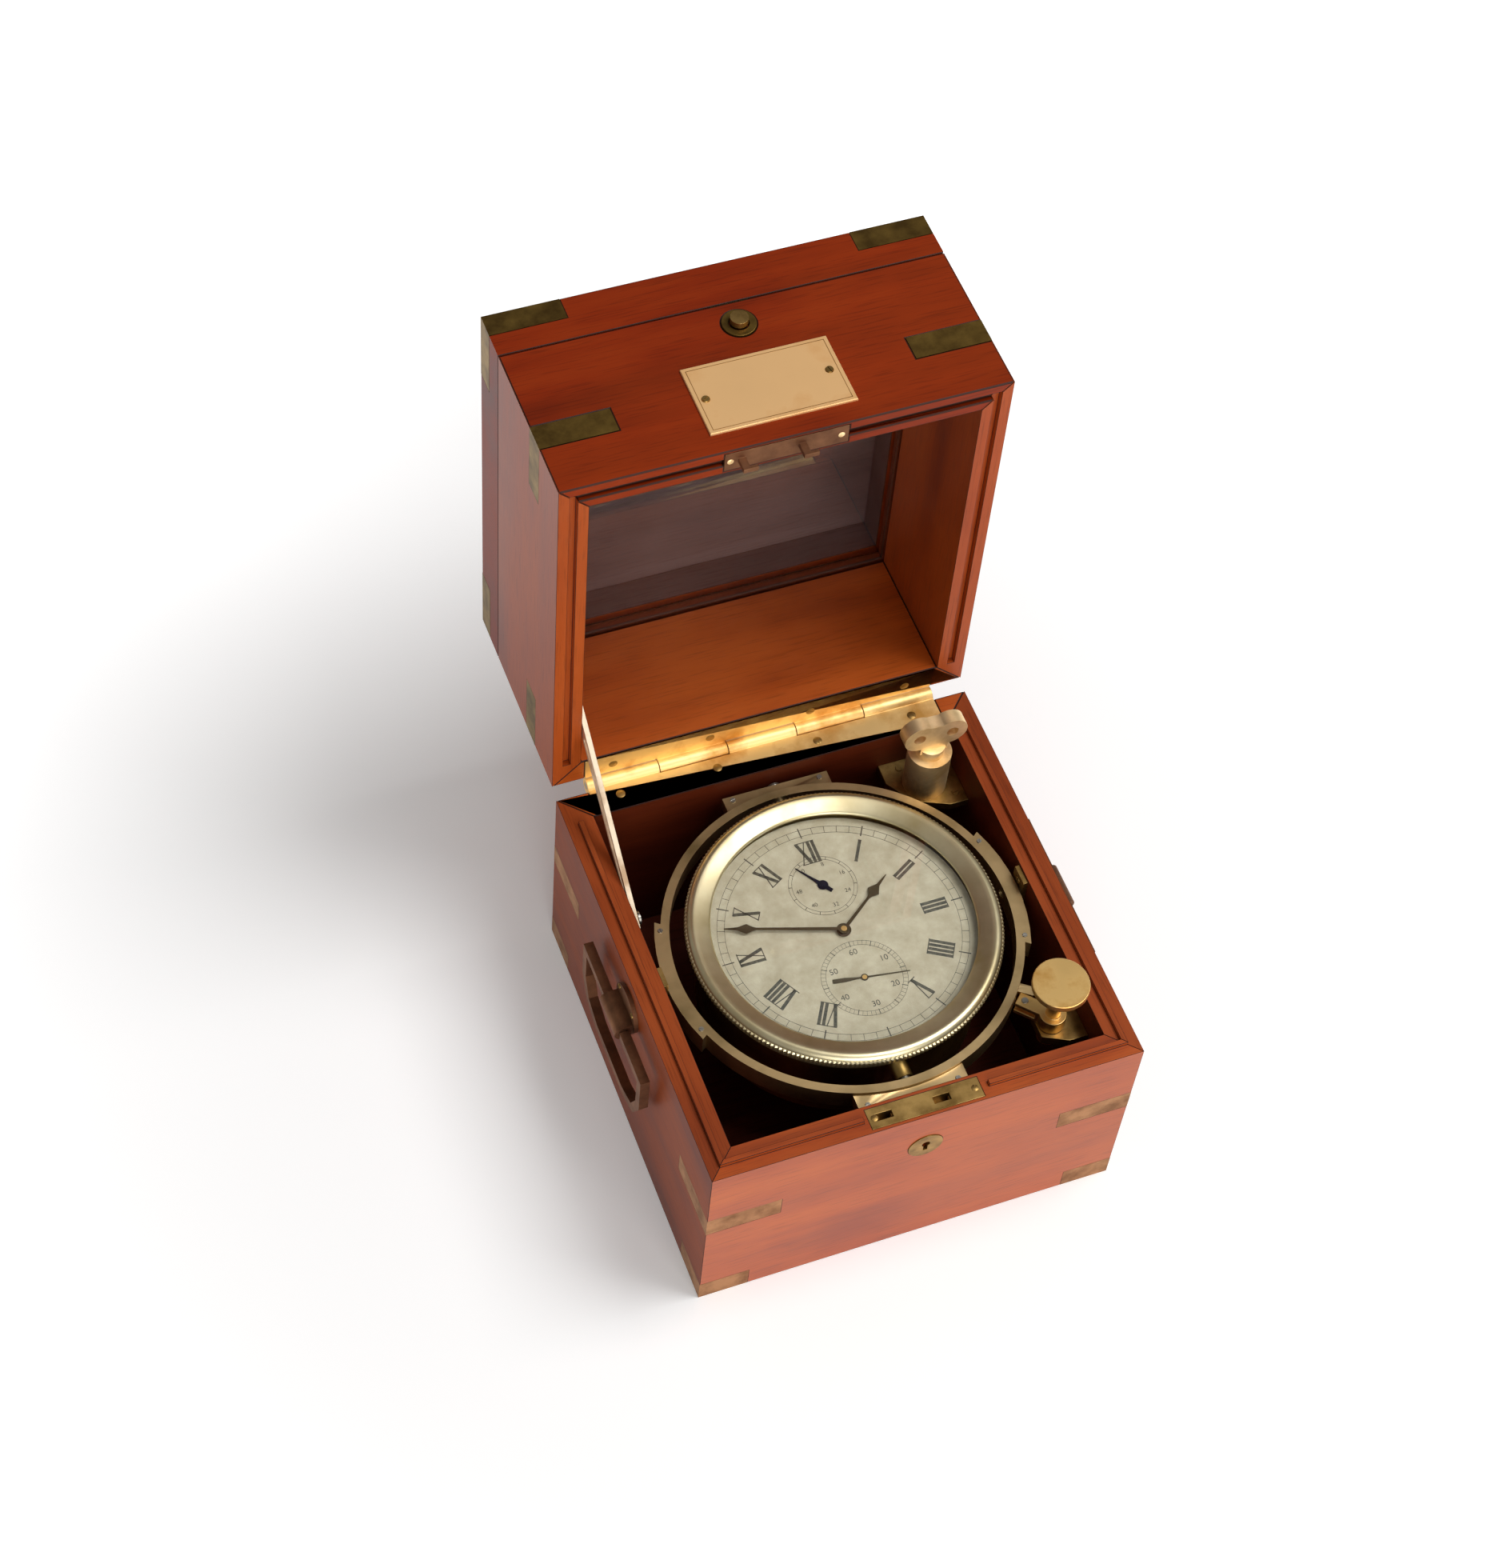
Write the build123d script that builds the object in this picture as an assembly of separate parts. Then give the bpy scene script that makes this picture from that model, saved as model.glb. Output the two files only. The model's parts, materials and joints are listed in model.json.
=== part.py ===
"""Marine chronometer in its three-part box: a slung bowl movement under a glazed middle tier.

All sizes are in millimetres. The origin is the centre of the underside of the box, the front looks
along -Y, the dial's twelve points along +Y and Z is up. The lid parts are drawn closed and then
turned back about the main hinge into the open rest position.
"""
import math
import os

from build123d import *

# Box carcase
BOX_W = 180.0
BOX_D = 183.0
WALL = 12.0
BASE_H = 98.0
BOTTOM_T = 9.0
RIM_GAP = 0.3
TIER_Z0 = BASE_H + RIM_GAP
TIER_Z1 = 168.0
LID_Z0 = TIER_Z1 + RIM_GAP
LID_Z1 = 189.0
TONGUE_IN = 6.0
TONGUE_W = 2.2
TONGUE_H = 1.8
GROOVE_W = 3.2
GROOVE_H = 2.5
REBATE = 4.0
REBATE_Z = 158.0

# Main hinge
HINGE_Y = 95.2
HINGE_Z = 97.0
OPEN_DEG = 90.8
KNUCKLE_R = 3.4
LEAF_T = 1.6
LEAF_HALF = 76.0
PIN_R = 1.5

# Top lid hinges
TOP_HINGE_Y = 93.8
TOP_HINGE_Z = 168.15
TOP_KNUCKLE_R = 2.0
TOP_LEAF_T = 1.2
TOP_HINGE_X = 50.0
TOP_HINGE_HALF = 13.0

# Straps let into the box corners
STRAP_T = 1.2
STRAP_LEG = 31.0
FOOT_LEG = 21.0
STRAP_H = 11.0
BASE_STRAP_Z = 60.0
TIER_STRAP_Z = TIER_Z0 + 27.5

# Lock in the base front
LOCK_Y = -85.5
HOOKS_X = (-17.0, 7.0)
KEYHOLE_Z = 74.6
ESCUTCHEON_R = 7.3

# Push button of the top lid
BUTTON_X = 1.5
BUTTON_Z = 157.0

# Stay between base and tier, on the left
STAY_R = 62.0
STAY_Q_DEG = 188.0
STAY_P_DEG = 153.0
STAY_X0 = -77.7
STAY_X1 = -75.5
STAY_SLOT_R = 1.6

# Drop handles
HANDLE_X = 95.5
HANDLE_Z = 78.0

# Gimbals
GIMBAL_Z = 86.0
RING_R = 73.0
RING_IN_R = 69.5
RING_HALF_H = 5.0
TRUNNION_R = 2.0
FIT = 0.05

# Gimbal lock and winding key
LOCK_POST = (66.0, -60.0)
LOCK_REST_DEG = 133.5
LOCK_ARM = 15.3
LUG_DEG = -36.5
KEY_AT = (63.5, 66.0)

# Bowl, bezel and dial
BOWL_R = 57.5
BOWL_TOP = 93.5
BOWL_BOTTOM = 27.0
SEAT_R = 55.5
BEZEL_R = 64.0
OPENING_R = 53.5
DIAL_R = 54.5
DIAL_Z = 90.6
DIAL_T = 1.2

# Movement plates
PILLAR_PLATE = (85.0, 88.0)
TOP_PLATE = (60.5, 63.0)
TOP_PLATE_R = 50.0
PILLARS = (15.0, 105.0, 176.0, 285.0)
PILLAR_AT = 44.5

# Arbor positions on the plates
CENTRE = (0.0, 0.0)
FOURTH = (0.0, -22.8)
RESERVE = (0.0, 22.8)
THIRD = (14.37, -11.97)
FUSEE = (-18.19, 10.5)
BARREL = (15.0, 26.0)
ESCAPE = (-15.12, -22.8)
BALANCE = (-17.4, -9.8)
SHUTTER_PIVOT = (-3.2, 1.85)

# Wheelwork: module of each pair
M_GREAT = 0.6
M_CENTRE = 0.55
M_THIRD = 0.5
M_FOURTH = 0.42

HALF_W = BOX_W / 2
HALF_D = BOX_D / 2
IN_W = HALF_W - WALL
IN_D = HALF_D - WALL


def block(x0, x1, y0, y1, z0, z1):
    """A box between two corners."""
    return Pos((x0 + x1) / 2, (y0 + y1) / 2, (z0 + z1) / 2) * Box(x1 - x0, y1 - y0, z1 - z0)


def rod(at, z0, z1, r):
    """A round rod standing along Z."""
    return Pos(at[0], at[1], (z0 + z1) / 2) * Cylinder(r, z1 - z0)


def rod_x(y, z, x0, x1, r):
    """A round rod lying along X."""
    return Pos((x0 + x1) / 2, y, z) * Rot(0, 90, 0) * Cylinder(r, x1 - x0)


def rod_y(x, z, y0, y1, r):
    """A round rod lying along Y."""
    return Pos(x, (y0 + y1) / 2, z) * Rot(90, 0, 0) * Cylinder(r, y1 - y0)


def prism(points, z0, z1):
    """A plan outline raised from z0 to z1."""
    return extrude(Pos(0, 0, z0) * Polygon(*points, align=None), amount=z1 - z0, dir=(0, 0, 1))


def turned(points):
    """A profile of (radius, height) points turned about Z."""
    return revolve(Plane.XZ * Polygon(*points, align=None), axis=Axis.Z)


def polar(r, deg, at=(0.0, 0.0)):
    """The plan point at radius r and angle deg from a centre."""
    a = math.radians(deg)
    return (at[0] + r * math.cos(a), at[1] + r * math.sin(a))


def bearing(a, b):
    """Direction in degrees from plan point a to plan point b."""
    return math.degrees(math.atan2(b[1] - a[1], b[0] - a[0]))


def group(shapes):
    """Several separate solids as one node."""
    return Compound(children=[s for shape in shapes for s in shape.solids()])


def swung_open(shape):
    """Turn a lid part from closed to the open rest position."""
    turn = Pos(0, HINGE_Y, HINGE_Z) * Rot(-OPEN_DEG, 0, 0) * Pos(0, -HINGE_Y, -HINGE_Z)
    return turn * shape


# Carcase boards

def side_plan(side):
    """Plan of a mitred wall: front, back, left or right."""
    outer = [(-HALF_W, -HALF_D), (HALF_W, -HALF_D), (HALF_W, HALF_D), (-HALF_W, HALF_D)]
    inner = [(-IN_W, -IN_D), (IN_W, -IN_D), (IN_W, IN_D), (-IN_W, IN_D)]
    i = ("front", "right", "back", "left").index(side)
    j = (i + 1) % 4
    return [outer[i], outer[j], inner[j], inner[i]]


def rim_band(width, end_y, z0, z1, lock_half):
    """The open U of tongue or groove along front and sides of a rim."""
    x = HALF_W - TONGUE_IN
    y = HALF_D - TONGUE_IN
    h = width / 2
    band = block(-x - h, x + h, -y - h, end_y, z0, z1)
    band -= block(-x + h, x - h, -y + h, end_y + 1, z0 - 1, z1 + 1)
    if lock_half:
        band -= block(-lock_half, lock_half, -y - h - 1, -y + h + 1, z0 - 1, z1 + 1)
    return band


def corner_strap(sx, sy, leg, z0, z1, t=STRAP_T):
    """An L of brass round one corner of the box."""
    w, d = HALF_W, HALF_D
    plan = [(w, d), (w - leg, d), (w - leg, d - t), (w - t, d - t), (w - t, d - leg), (w, d - leg)]
    plan = [(sx * x, sy * y) for x, y in plan]
    return prism(plan, z0, z1)


def four_corners(make):
    """One strap for each corner."""
    return [make(sx, sy) for sx in (-1, 1) for sy in (-1, 1)]


def base_strap_solids():
    mid = BASE_STRAP_Z
    bands = four_corners(lambda sx, sy: corner_strap(sx, sy, STRAP_LEG, mid - STRAP_H / 2, mid + STRAP_H / 2))
    feet = four_corners(lambda sx, sy: corner_strap(sx, sy, FOOT_LEG, 0, STRAP_H))
    return bands + feet


def tier_strap_solids():
    mid = TIER_STRAP_Z
    return four_corners(lambda sx, sy: corner_strap(sx, sy, STRAP_LEG, mid - STRAP_H / 2, mid + STRAP_H / 2))


def lid_strap(sx, sy):
    """A corner strap of the top lid with its flange lying on the top face."""
    w, d, leg = HALF_W, HALF_D, STRAP_LEG
    plan = [(w, d), (w - leg, d), (w - leg, d - 8), (w - 8, d - 8), (w - 8, d - leg), (w, d - leg)]
    plan = [(sx * x, sy * y) for x, y in plan]
    return corner_strap(sx, sy, leg, LID_Z1 - 10, LID_Z1) + prism(plan, LID_Z1 - STRAP_T, LID_Z1)


def lock_case_block():
    return block(-23, 22, -88, -83, 66, BASE_H - LEAF_T)


def selvedge_block():
    return block(-24, 23, -90, -81, BASE_H - LEAF_T, BASE_H)


def keyhole(y0, y1):
    """The keyhole through the base front, round above with a slot below."""
    hole = rod_y(0, KEYHOLE_Z + 1.2, y0, y1, 1.7)
    return hole + block(-0.9, 0.9, y0, y1, KEYHOLE_Z - 3.4, KEYHOLE_Z + 1.2)


def base_board(side):
    """A wall of the base with its share of the rim tongue."""
    board = prism(side_plan(side), 0, BASE_H)
    if side != "back":
        tongue = rim_band(TONGUE_W, 78.0, BASE_H, BASE_H + TONGUE_H, 26)
        board += tongue & prism(side_plan(side), BASE_H, BASE_H + TONGUE_H)
    for strap in base_strap_solids():
        board -= strap
    if side == "front":
        board -= lock_case_block()
        board -= selvedge_block()
        board -= keyhole(-92, -87)
        board -= rod_y(0, KEYHOLE_Z, -92, -HALF_D + 1.2, ESCUTCHEON_R)
    if side == "back":
        board -= block(-LEAF_HALF, LEAF_HALF, 80.3, 92, BASE_H - LEAF_T, BASE_H + 1)
    if side == "left":
        board -= rod_x(stay_point(STAY_Q_DEG)[0], stay_point(STAY_Q_DEG)[1], -84, -77, PIN_R)
    return board


def tier_board(side):
    """A wall of the middle tier, drawn closed."""
    board = prism(side_plan(side), TIER_Z0, TIER_Z1)
    board -= rim_band(GROOVE_W, 79.0, TIER_Z0 - 1, TIER_Z0 + GROOVE_H, 0)
    x, y = IN_W + REBATE, IN_D + REBATE
    board -= block(-x, x, -y, y, REBATE_Z, TIER_Z1 + 1)
    for strap in tier_strap_solids():
        board -= strap
    if side == "front":
        board -= block(-25.7, 23.5, -90, -81, TIER_Z0 - 1, TIER_Z0 + 1.4)
        board -= rod_y(BUTTON_X, BUTTON_Z, -92, -86.5, 2.6)
        board -= rod_y(BUTTON_X, BUTTON_Z, -92, -HALF_D + 1.2, 6.8)
        board -= block(BUTTON_X - 3.4, BUTTON_X + 3.4, -88.4, -84.8, 153.5, TIER_Z1 + 1)
    if side == "back":
        board -= block(-LEAF_HALF, LEAF_HALF, 80.3, 92, TIER_Z0 - 1, TIER_Z0 + LEAF_T)
        for sx in (-1, 1):
            x0 = sx * TOP_HINGE_X
            board -= block(x0 - TOP_HINGE_HALF, x0 + TOP_HINGE_HALF, 83.6, 92, TIER_Z1 - TOP_LEAF_T, TIER_Z1 + 1)
    if side == "left":
        board -= rod_x(stay_point(STAY_P_DEG)[0], stay_point(STAY_P_DEG)[1], -82, -77, PIN_R + FIT)
    return board


def lid_boards():
    """Four mitred rails and the panel of the top lid."""
    x, y = IN_W + REBATE, IN_D + REBATE
    panel = block(-x, x, -y, y, LID_Z1 - 7, LID_Z1)
    rails = []
    for side in ("front", "right", "back", "left"):
        rail = prism(side_plan(side), LID_Z0, LID_Z1)
        rail -= block(-x, x, -y, y, LID_Z1 - 7, LID_Z1 + 1)
        if side == "front":
            rail -= block(BUTTON_X - 8, BUTTON_X + 8, -90.8, -82.6, LID_Z0 - 1, LID_Z0 + 1.2)
            rail -= block(BUTTON_X - 3.6, BUTTON_X + 3.6, -88.1, -84.3, LID_Z0, LID_Z0 + 3.7)
        if side == "back":
            for sx in (-1, 1):
                x0 = sx * TOP_HINGE_X
                rail -= block(x0 - TOP_HINGE_HALF, x0 + TOP_HINGE_HALF, 83.6, 92, LID_Z0 - 1, LID_Z0 + TOP_LEAF_T)
        for strap in four_corners(lid_strap):
            rail -= strap
        rails.append(rail)
    for strap in four_corners(lid_strap):
        panel -= strap
    return rails + [panel]


def mitred_strip(half_w, half_d, width, z0, z1):
    """Four mitred strips lying flat in a frame."""
    o = [(-half_w, -half_d), (half_w, -half_d), (half_w, half_d), (-half_w, half_d)]
    w, d = half_w - width, half_d - width
    i = [(-w, -d), (w, -d), (w, d), (-w, d)]
    return [prism([o[k], o[(k + 1) % 4], i[(k + 1) % 4], i[k]], z0, z1) for k in range(4)]


# Box fittings

def box_lock():
    """Lock case with its selvedge plate, two hook slots and the bolt way."""
    lock = lock_case_block() + selvedge_block()
    lock -= block(-20.9, 15.4, -87, -84, 91.5, BASE_H - LEAF_T - 0.01)
    lock -= block(-15, 18.5, -87, -84, 81.5, 91.6)
    lock -= rod_y(0, KEYHOLE_Z + 1.2, -87, -84, 6.5)
    lock -= keyhole(-89, -86.5)
    for h in HOOKS_X:
        lock -= block(h - 3.9, h + 3.0, -87, -84, 91, BASE_H + 1)
    return lock


def lock_bolt():
    """Sliding bolt with two upright claws, drawn unlocked."""
    bolt = block(-11.2, 15, -86.7, -84.3, 82, 91)
    bolt -= block(-2.5, 2.5, -90, -80, 81, 84.5)
    for h in HOOKS_X:
        bolt += block(h + 5.8, h + 8, -86.7, -84.3, 90, 96.1)
        bolt += block(h + 2.8, h + 6.5, -86.7, -84.3, 94.1, 96.1)
    return bolt


def strike_plate():
    """Plate in the tier rim with two hooks that drop into the lock."""
    plate = block(-25.7, 23.5, -90, -81, TIER_Z0, TIER_Z0 + 1.4)
    for h in HOOKS_X:
        plate += block(h - 3.5, h - 0.5, -86.5, -84.5, 92.2, TIER_Z0 + 0.5)
        plate += block(h - 3.5, h + 2.5, -86.5, -84.5, 92.2, 93.7)
    return plate


def keyhole_escutcheon():
    disc = rod_y(0, KEYHOLE_Z, -HALF_D - 0.4, -HALF_D + 1.2, ESCUTCHEON_R)
    return disc - keyhole(-93, -89)


def button_escutcheon():
    disc = rod_y(BUTTON_X, BUTTON_Z, -HALF_D - 0.6, -HALF_D + 1.2, 6.8)
    return disc - rod_y(BUTTON_X, BUTTON_Z, -93, -89, 3.9)


def push_button():
    """Button head, shank and the latch blade behind it."""
    button = rod_y(BUTTON_X, BUTTON_Z, -95, -92.4, 3.6) + rod_y(BUTTON_X, BUTTON_Z, -93, -87.5, 2.3)
    return button + block(BUTTON_X - 3, BUTTON_X + 3, -87.8, -86.8, 154.2, 171)


def lid_catch():
    plate = block(BUTTON_X - 8, BUTTON_X + 8, -90.8, -82.6, LID_Z0, LID_Z0 + 1.2)
    return plate - block(BUTTON_X - 3.6, BUTTON_X + 3.6, -88.1, -84.3, LID_Z0 - 1, LID_Z0 + 2)


def butt_leaf(spans, z0, z1, y0, axis_y, axis_z, r, bore, half, x0=0.0):
    """A hinge leaf with knuckles on the given spans of its length."""
    leaf = block(x0 - half, x0 + half, y0, HALF_D, z0, z1)
    for a, b in spans:
        leaf += block(x0 + a, x0 + b, HALF_D - 1, axis_y, z0, z1)
        leaf += rod_x(axis_y, axis_z, x0 + a, x0 + b, r)
    for a, b in spans:
        leaf -= rod_x(axis_y, axis_z, x0 + a - 1, x0 + b + 1, bore)
    return leaf


def main_base_leaf():
    spans = [(-76, -45.15), (-14.85, 14.85), (45.15, 76)]
    return butt_leaf(spans, BASE_H - LEAF_T, BASE_H, 80.3, HINGE_Y, HINGE_Z, KNUCKLE_R, PIN_R, LEAF_HALF)


def main_tier_leaf():
    spans = [(-44.85, -15.15), (15.15, 44.85)]
    return butt_leaf(spans, TIER_Z0, TIER_Z0 + LEAF_T, 80.3, HINGE_Y, HINGE_Z, KNUCKLE_R, PIN_R + FIT, LEAF_HALF)


def top_hinge_leaves(lower):
    """The two small top lid hinges: outer knuckles with pins below, middle knuckle above."""
    leaves = []
    y, z, r, half = TOP_HINGE_Y, TOP_HINGE_Z, TOP_KNUCKLE_R, TOP_HINGE_HALF
    for sx in (-1, 1):
        x0 = sx * TOP_HINGE_X
        if lower:
            spans = [(-half, -4.65), (4.65, half)]
            leaf = butt_leaf(spans, TIER_Z1 - TOP_LEAF_T, TIER_Z1, 83.6, y, z, r, 0.9, half, x0)
            leaves += [leaf, rod_x(y, z, x0 - half, x0 + half, 0.9)]
        else:
            spans = [(-4.35, 4.35)]
            leaves.append(butt_leaf(spans, LID_Z0, LID_Z0 + TOP_LEAF_T, 83.6, y, z, r, 0.95, half, x0))
    return leaves


def stay_point(deg):
    """A point of the stay circle round the main hinge, as (y, z)."""
    a = math.radians(deg)
    return (HINGE_Y + STAY_R * math.cos(a), HINGE_Z + STAY_R * math.sin(a))


def lid_stay():
    """Slotted bar riveted to the tier, drawn in the open rest position."""
    p = stay_point(STAY_P_DEG - OPEN_DEG)
    q = stay_point(STAY_Q_DEG)
    closed = math.dist(stay_point(STAY_P_DEG), q)
    span = math.dist(p, q)
    tilt = math.degrees(math.atan2(q[1] - p[1], q[0] - p[0]))
    t = STAY_X1 - STAY_X0
    bar = Box(span + 8, 7, t)
    bar = Pos(span / 2, 0, 0) * bar
    slot_len = span - closed
    bar -= Pos((closed + span) / 2, 0, 0) * Box(slot_len, 2 * STAY_SLOT_R, t + 2)
    for s in (closed, span):
        bar -= Pos(s, 0, 0) * Cylinder(STAY_SLOT_R, t + 2)
    bar += Pos(0, 0, 0.3) * Cylinder(2.8, t + 0.6)
    bar = Pos((STAY_X0 + STAY_X1) / 2, p[0], p[1]) * Rot(tilt, 0, 0) * Plane.YZ.location * bar
    return bar + rod_x(p[0], p[1], -81.5, STAY_X0 + 0.5, PIN_R)


def stay_stud():
    """Headed stud in the left wall that the stay slides on."""
    y, z = stay_point(STAY_Q_DEG)
    return rod_x(y, z, -83, STAY_X1 + 0.4, PIN_R) + rod_x(y, z, STAY_X1 + 0.3, STAY_X1 + 1.4, 2.9)


def handle_lug(s):
    """Rosette on the box side with the round eye that carries the handle."""
    plate = Pos(s * (HALF_W + 0.9), 0, 81) * Rot(0, 90, 0) * Cylinder(10.5, 1.8)
    eye = rod_y(s * HANDLE_X, HANDLE_Z, -9, 9, 3.9)
    neck = block(min(s * 91, s * HANDLE_X), max(s * 91, s * HANDLE_X), -9, 9, HANDLE_Z - 2.6, HANDLE_Z + 3.9)
    return plate + eye + neck - rod_y(s * HANDLE_X, HANDLE_Z, -10, 10, 1.8 + FIT)


def drop_handle(s):
    """D-shaped loop hanging from its top bar."""
    outer = [(-34, 80), (34, 80), (34, 60), (28, 48), (16, 43), (-16, 43), (-28, 48), (-34, 60)]
    inner = [(-30, 76), (30, 76), (30, 61), (25.4, 51.2), (15, 47), (-15, 47), (-25.4, 51.2), (-30, 61)]
    face = Polygon(*outer, align=None) - Polygon(*inner, align=None)
    loop = extrude(Plane.YZ * face, amount=2, both=True)
    loop -= block(-5, 5, -9.4, 9.4, 70, 90)
    return Pos(s * HANDLE_X, 0, 0) * loop + rod_y(s * HANDLE_X, HANDLE_Z, -10.5, 10.5, 1.8)


def key_holder():
    """Corner shelf for the winding key, at the back right."""
    plan = [(IN_W, IN_D), (48, IN_D), (48, 70), (56, 58), (70, 52), (IN_W, 52)]
    return prism(plan, 74, 78) - rod(KEY_AT, 73, 79, 5 + FIT)


def winding_key():
    """Tipsy key: square pipe, collar and winged bow."""
    x, y = KEY_AT
    key = rod(KEY_AT, 52, 80, 5) + rod(KEY_AT, 78, 101, 9.2) + rod(KEY_AT, 100, 106, 6)
    for s in (-1, 1):
        key += rod_y(x + s * 6.6, 115, y - 3, y + 3, 7.2)
    key += block(x - 6, x + 6, y - 3, y + 3, 104, 121)
    for s in (-1, 1):
        key -= rod_y(x + s * 7.2, 115, y - 4, y + 4, 2.6)
    return key - block(x - 1.8, x + 1.8, y - 1.8, y + 1.8, 51, 70)


# Gimbals

def gimbal_bearings():
    """Bearing plates on the left and right walls."""
    plates = []
    for s in (-1, 1):
        plate = block(min(s * 76, s * IN_W), max(s * 76, s * IN_W), -4.5, 4.5, 75, 97)
        plates.append(plate - rod_x(0, GIMBAL_Z, -80, 80, TRUNNION_R + FIT))
    return plates


def gimbal_ring():
    """Ring with thickened trunnion seats, bridge bars and the lug for the lock."""
    low, high = GIMBAL_Z - RING_HALF_H, GIMBAL_Z + RING_HALF_H
    ring = rod(CENTRE, low, high, RING_R)
    for a in (0, 180):
        plan = [polar(60, a - 18)]
        plan += [polar(75.5, a - 22 + 44 * k / 8) for k in range(9)]
        plan += [polar(60, a + 18)]
        ring += prism(plan, low, high)
    for s in (-1, 1):
        ring += block(-23, 23, min(s * 66, s * 77), max(s * 66, s * 77), GIMBAL_Z - 3, GIMBAL_Z + 3)
    tip = polar(79.5, LUG_DEG)
    root = polar(71, LUG_DEG)
    across = polar(2, LUG_DEG + 90)
    lug = [(tip[0] + across[0], tip[1] + across[1]), (tip[0] - across[0], tip[1] - across[1])]
    lug += [(root[0] - across[0], root[1] - across[1]), (root[0] + across[0], root[1] + across[1])]
    ring += prism(lug, GIMBAL_Z - 1, GIMBAL_Z + 1)
    ring -= rod(CENTRE, low - 1, high + 1, RING_IN_R)
    ring -= rod_x(0, GIMBAL_Z, -80, 80, TRUNNION_R)
    ring -= rod_y(0, GIMBAL_Z, -80, 80, TRUNNION_R)
    return ring


def gimbal_pivot_screws():
    """Two trunnions out to the box and two in to the bowl."""
    screws = []
    for s in (-1, 1):
        screws.append(rod_x(0, GIMBAL_Z, min(s * 70, s * 77.6), max(s * 70, s * 77.6), TRUNNION_R))
        screw = rod_y(0, GIMBAL_Z, min(s * 63.5, s * 77.5), max(s * 63.5, s * 77.5), TRUNNION_R)
        screws.append(screw + rod_y(0, GIMBAL_Z, min(s * 77, s * 78.2), max(s * 77, s * 78.2), 3))
    return screws


def lock_bracket():
    """Bracket on the right wall that carries the gimbal lock."""
    x, y = LOCK_POST
    plan = [(IN_W, -70), (IN_W, -52), (70, -52), (60, -55), (60, -65), (70, -70)]
    bracket = prism(plan, 77.5, 82.2) - rod(LOCK_POST, 77, 83, 3 + FIT)
    return bracket + block(75.5, IN_W, -70, -52, 70, 82.2)


def lock_lever():
    """Thumb disc, post and the forked arm that grips the ring's lug."""
    x, y = LOCK_POST
    lever = rod(LOCK_POST, 73, 110, 3) + rod(LOCK_POST, 109.5, 112.5, 11.5) + rod(LOCK_POST, 104, 110, 4.4)
    lever += rod(LOCK_POST, 82.5, 89.5, 5.5) + rod(LOCK_POST, 72, 77.2, 4.6)
    arm = block(0, LOCK_ARM, -3, 3, 82.5, 89.5) - block(6.3, LOCK_ARM + 1, -4, 4, 84.7, 87.3)
    return lever + Pos(x, y, 0) * Rot(0, 0, LOCK_REST_DEG) * arm


# Bowl and its glass

def bowl():
    """Brass bowl with the seat for the movement and the two trunnion bosses."""
    outer = [(BOWL_R, BOWL_TOP), (BOWL_R, 50), (46, 35), (27, BOWL_BOTTOM), (0, BOWL_BOTTOM)]
    inner = [(0, 31), (25.5, 31), (43.5, 38.5), (54.5, 51.5), (54.5, 85), (SEAT_R, 85), (SEAT_R, BOWL_TOP)]
    shell = turned(outer + inner)
    for s in (-1, 1):
        shell += rod_y(0, GIMBAL_Z - 1, min(s * 56, s * 67), max(s * 56, s * 67), 3.8) - rod(CENTRE, 80, 95, 55.6)
    shell -= rod_y(0, GIMBAL_Z, -68, -63, TRUNNION_R + FIT)
    shell -= rod_y(0, GIMBAL_Z, 63, 68, TRUNNION_R + FIT)
    shell -= rod(FUSEE, 26, 32, 6.5)
    return shell - rod(SHUTTER_PIVOT, 26, 32, 1.5 + FIT)


def winding_shutter():
    """Dust shutter over the winding hole, on its stud under the bowl."""
    disc = rod(FUSEE, 25, 26.7, 8.5)
    arm = Rot(0, 0, bearing(SHUTTER_PIVOT, FUSEE)) * block(0, 17.3, -3, 3, 25, 26.7)
    arm = Pos(SHUTTER_PIVOT[0], SHUTTER_PIVOT[1], 0) * arm
    stud = rod(SHUTTER_PIVOT, 24.2, 33, 1.5) + rod(SHUTTER_PIVOT, 25, 26.7, 4) + rod(SHUTTER_PIVOT, 31.3, 33, 3)
    return disc + arm + stud


def bezel():
    """Screwed bezel that holds the glass."""
    skirt = [(BOWL_R + 0.08, 90.2), (61.5, 90.2), (61.5, 94.2), (63.7, 95), (BEZEL_R, 97.4)]
    crown = [(62.8, 99.2), (60.6, 99.8), (OPENING_R, 97.2), (OPENING_R, 96.4)]
    seat = [(56.05, 96.4), (56.05, 93.8), (BOWL_R + 0.08, 93.8)]
    return turned(skirt + crown + seat)


def dial():
    """Silvered dial on three feet, pierced for the arbors."""
    plate = rod(CENTRE, DIAL_Z, DIAL_Z + DIAL_T, DIAL_R)
    for deg in (75, 195, 315):
        plate += rod(polar(48, deg), PILLAR_PLATE[1], DIAL_Z + 0.2, 1.5)
    plate -= rod(CENTRE, DIAL_Z - 1, DIAL_Z + 2, 2.6 + FIT)
    for at in (FOURTH, RESERVE):
        plate -= rod(at, DIAL_Z - 1, DIAL_Z + 2, 1 + FIT)
    return plate


# Movement

def gear_outline(teeth, module, at, phase, wheel=True):
    """Pointed teeth round a centre; phase is the direction of one tooth."""
    r = module * teeth / 2
    tip = r + (0.9 if wheel else 0.6) * module
    root = r - 1.2 * module
    half = (0.32 if wheel else 0.28) * 360 / teeth
    points = []
    for k in range(teeth):
        a = phase + 360 * k / teeth
        points += [polar(root, a - half, at), polar(tip, a, at), polar(root, a + half, at)]
    return points


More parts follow.
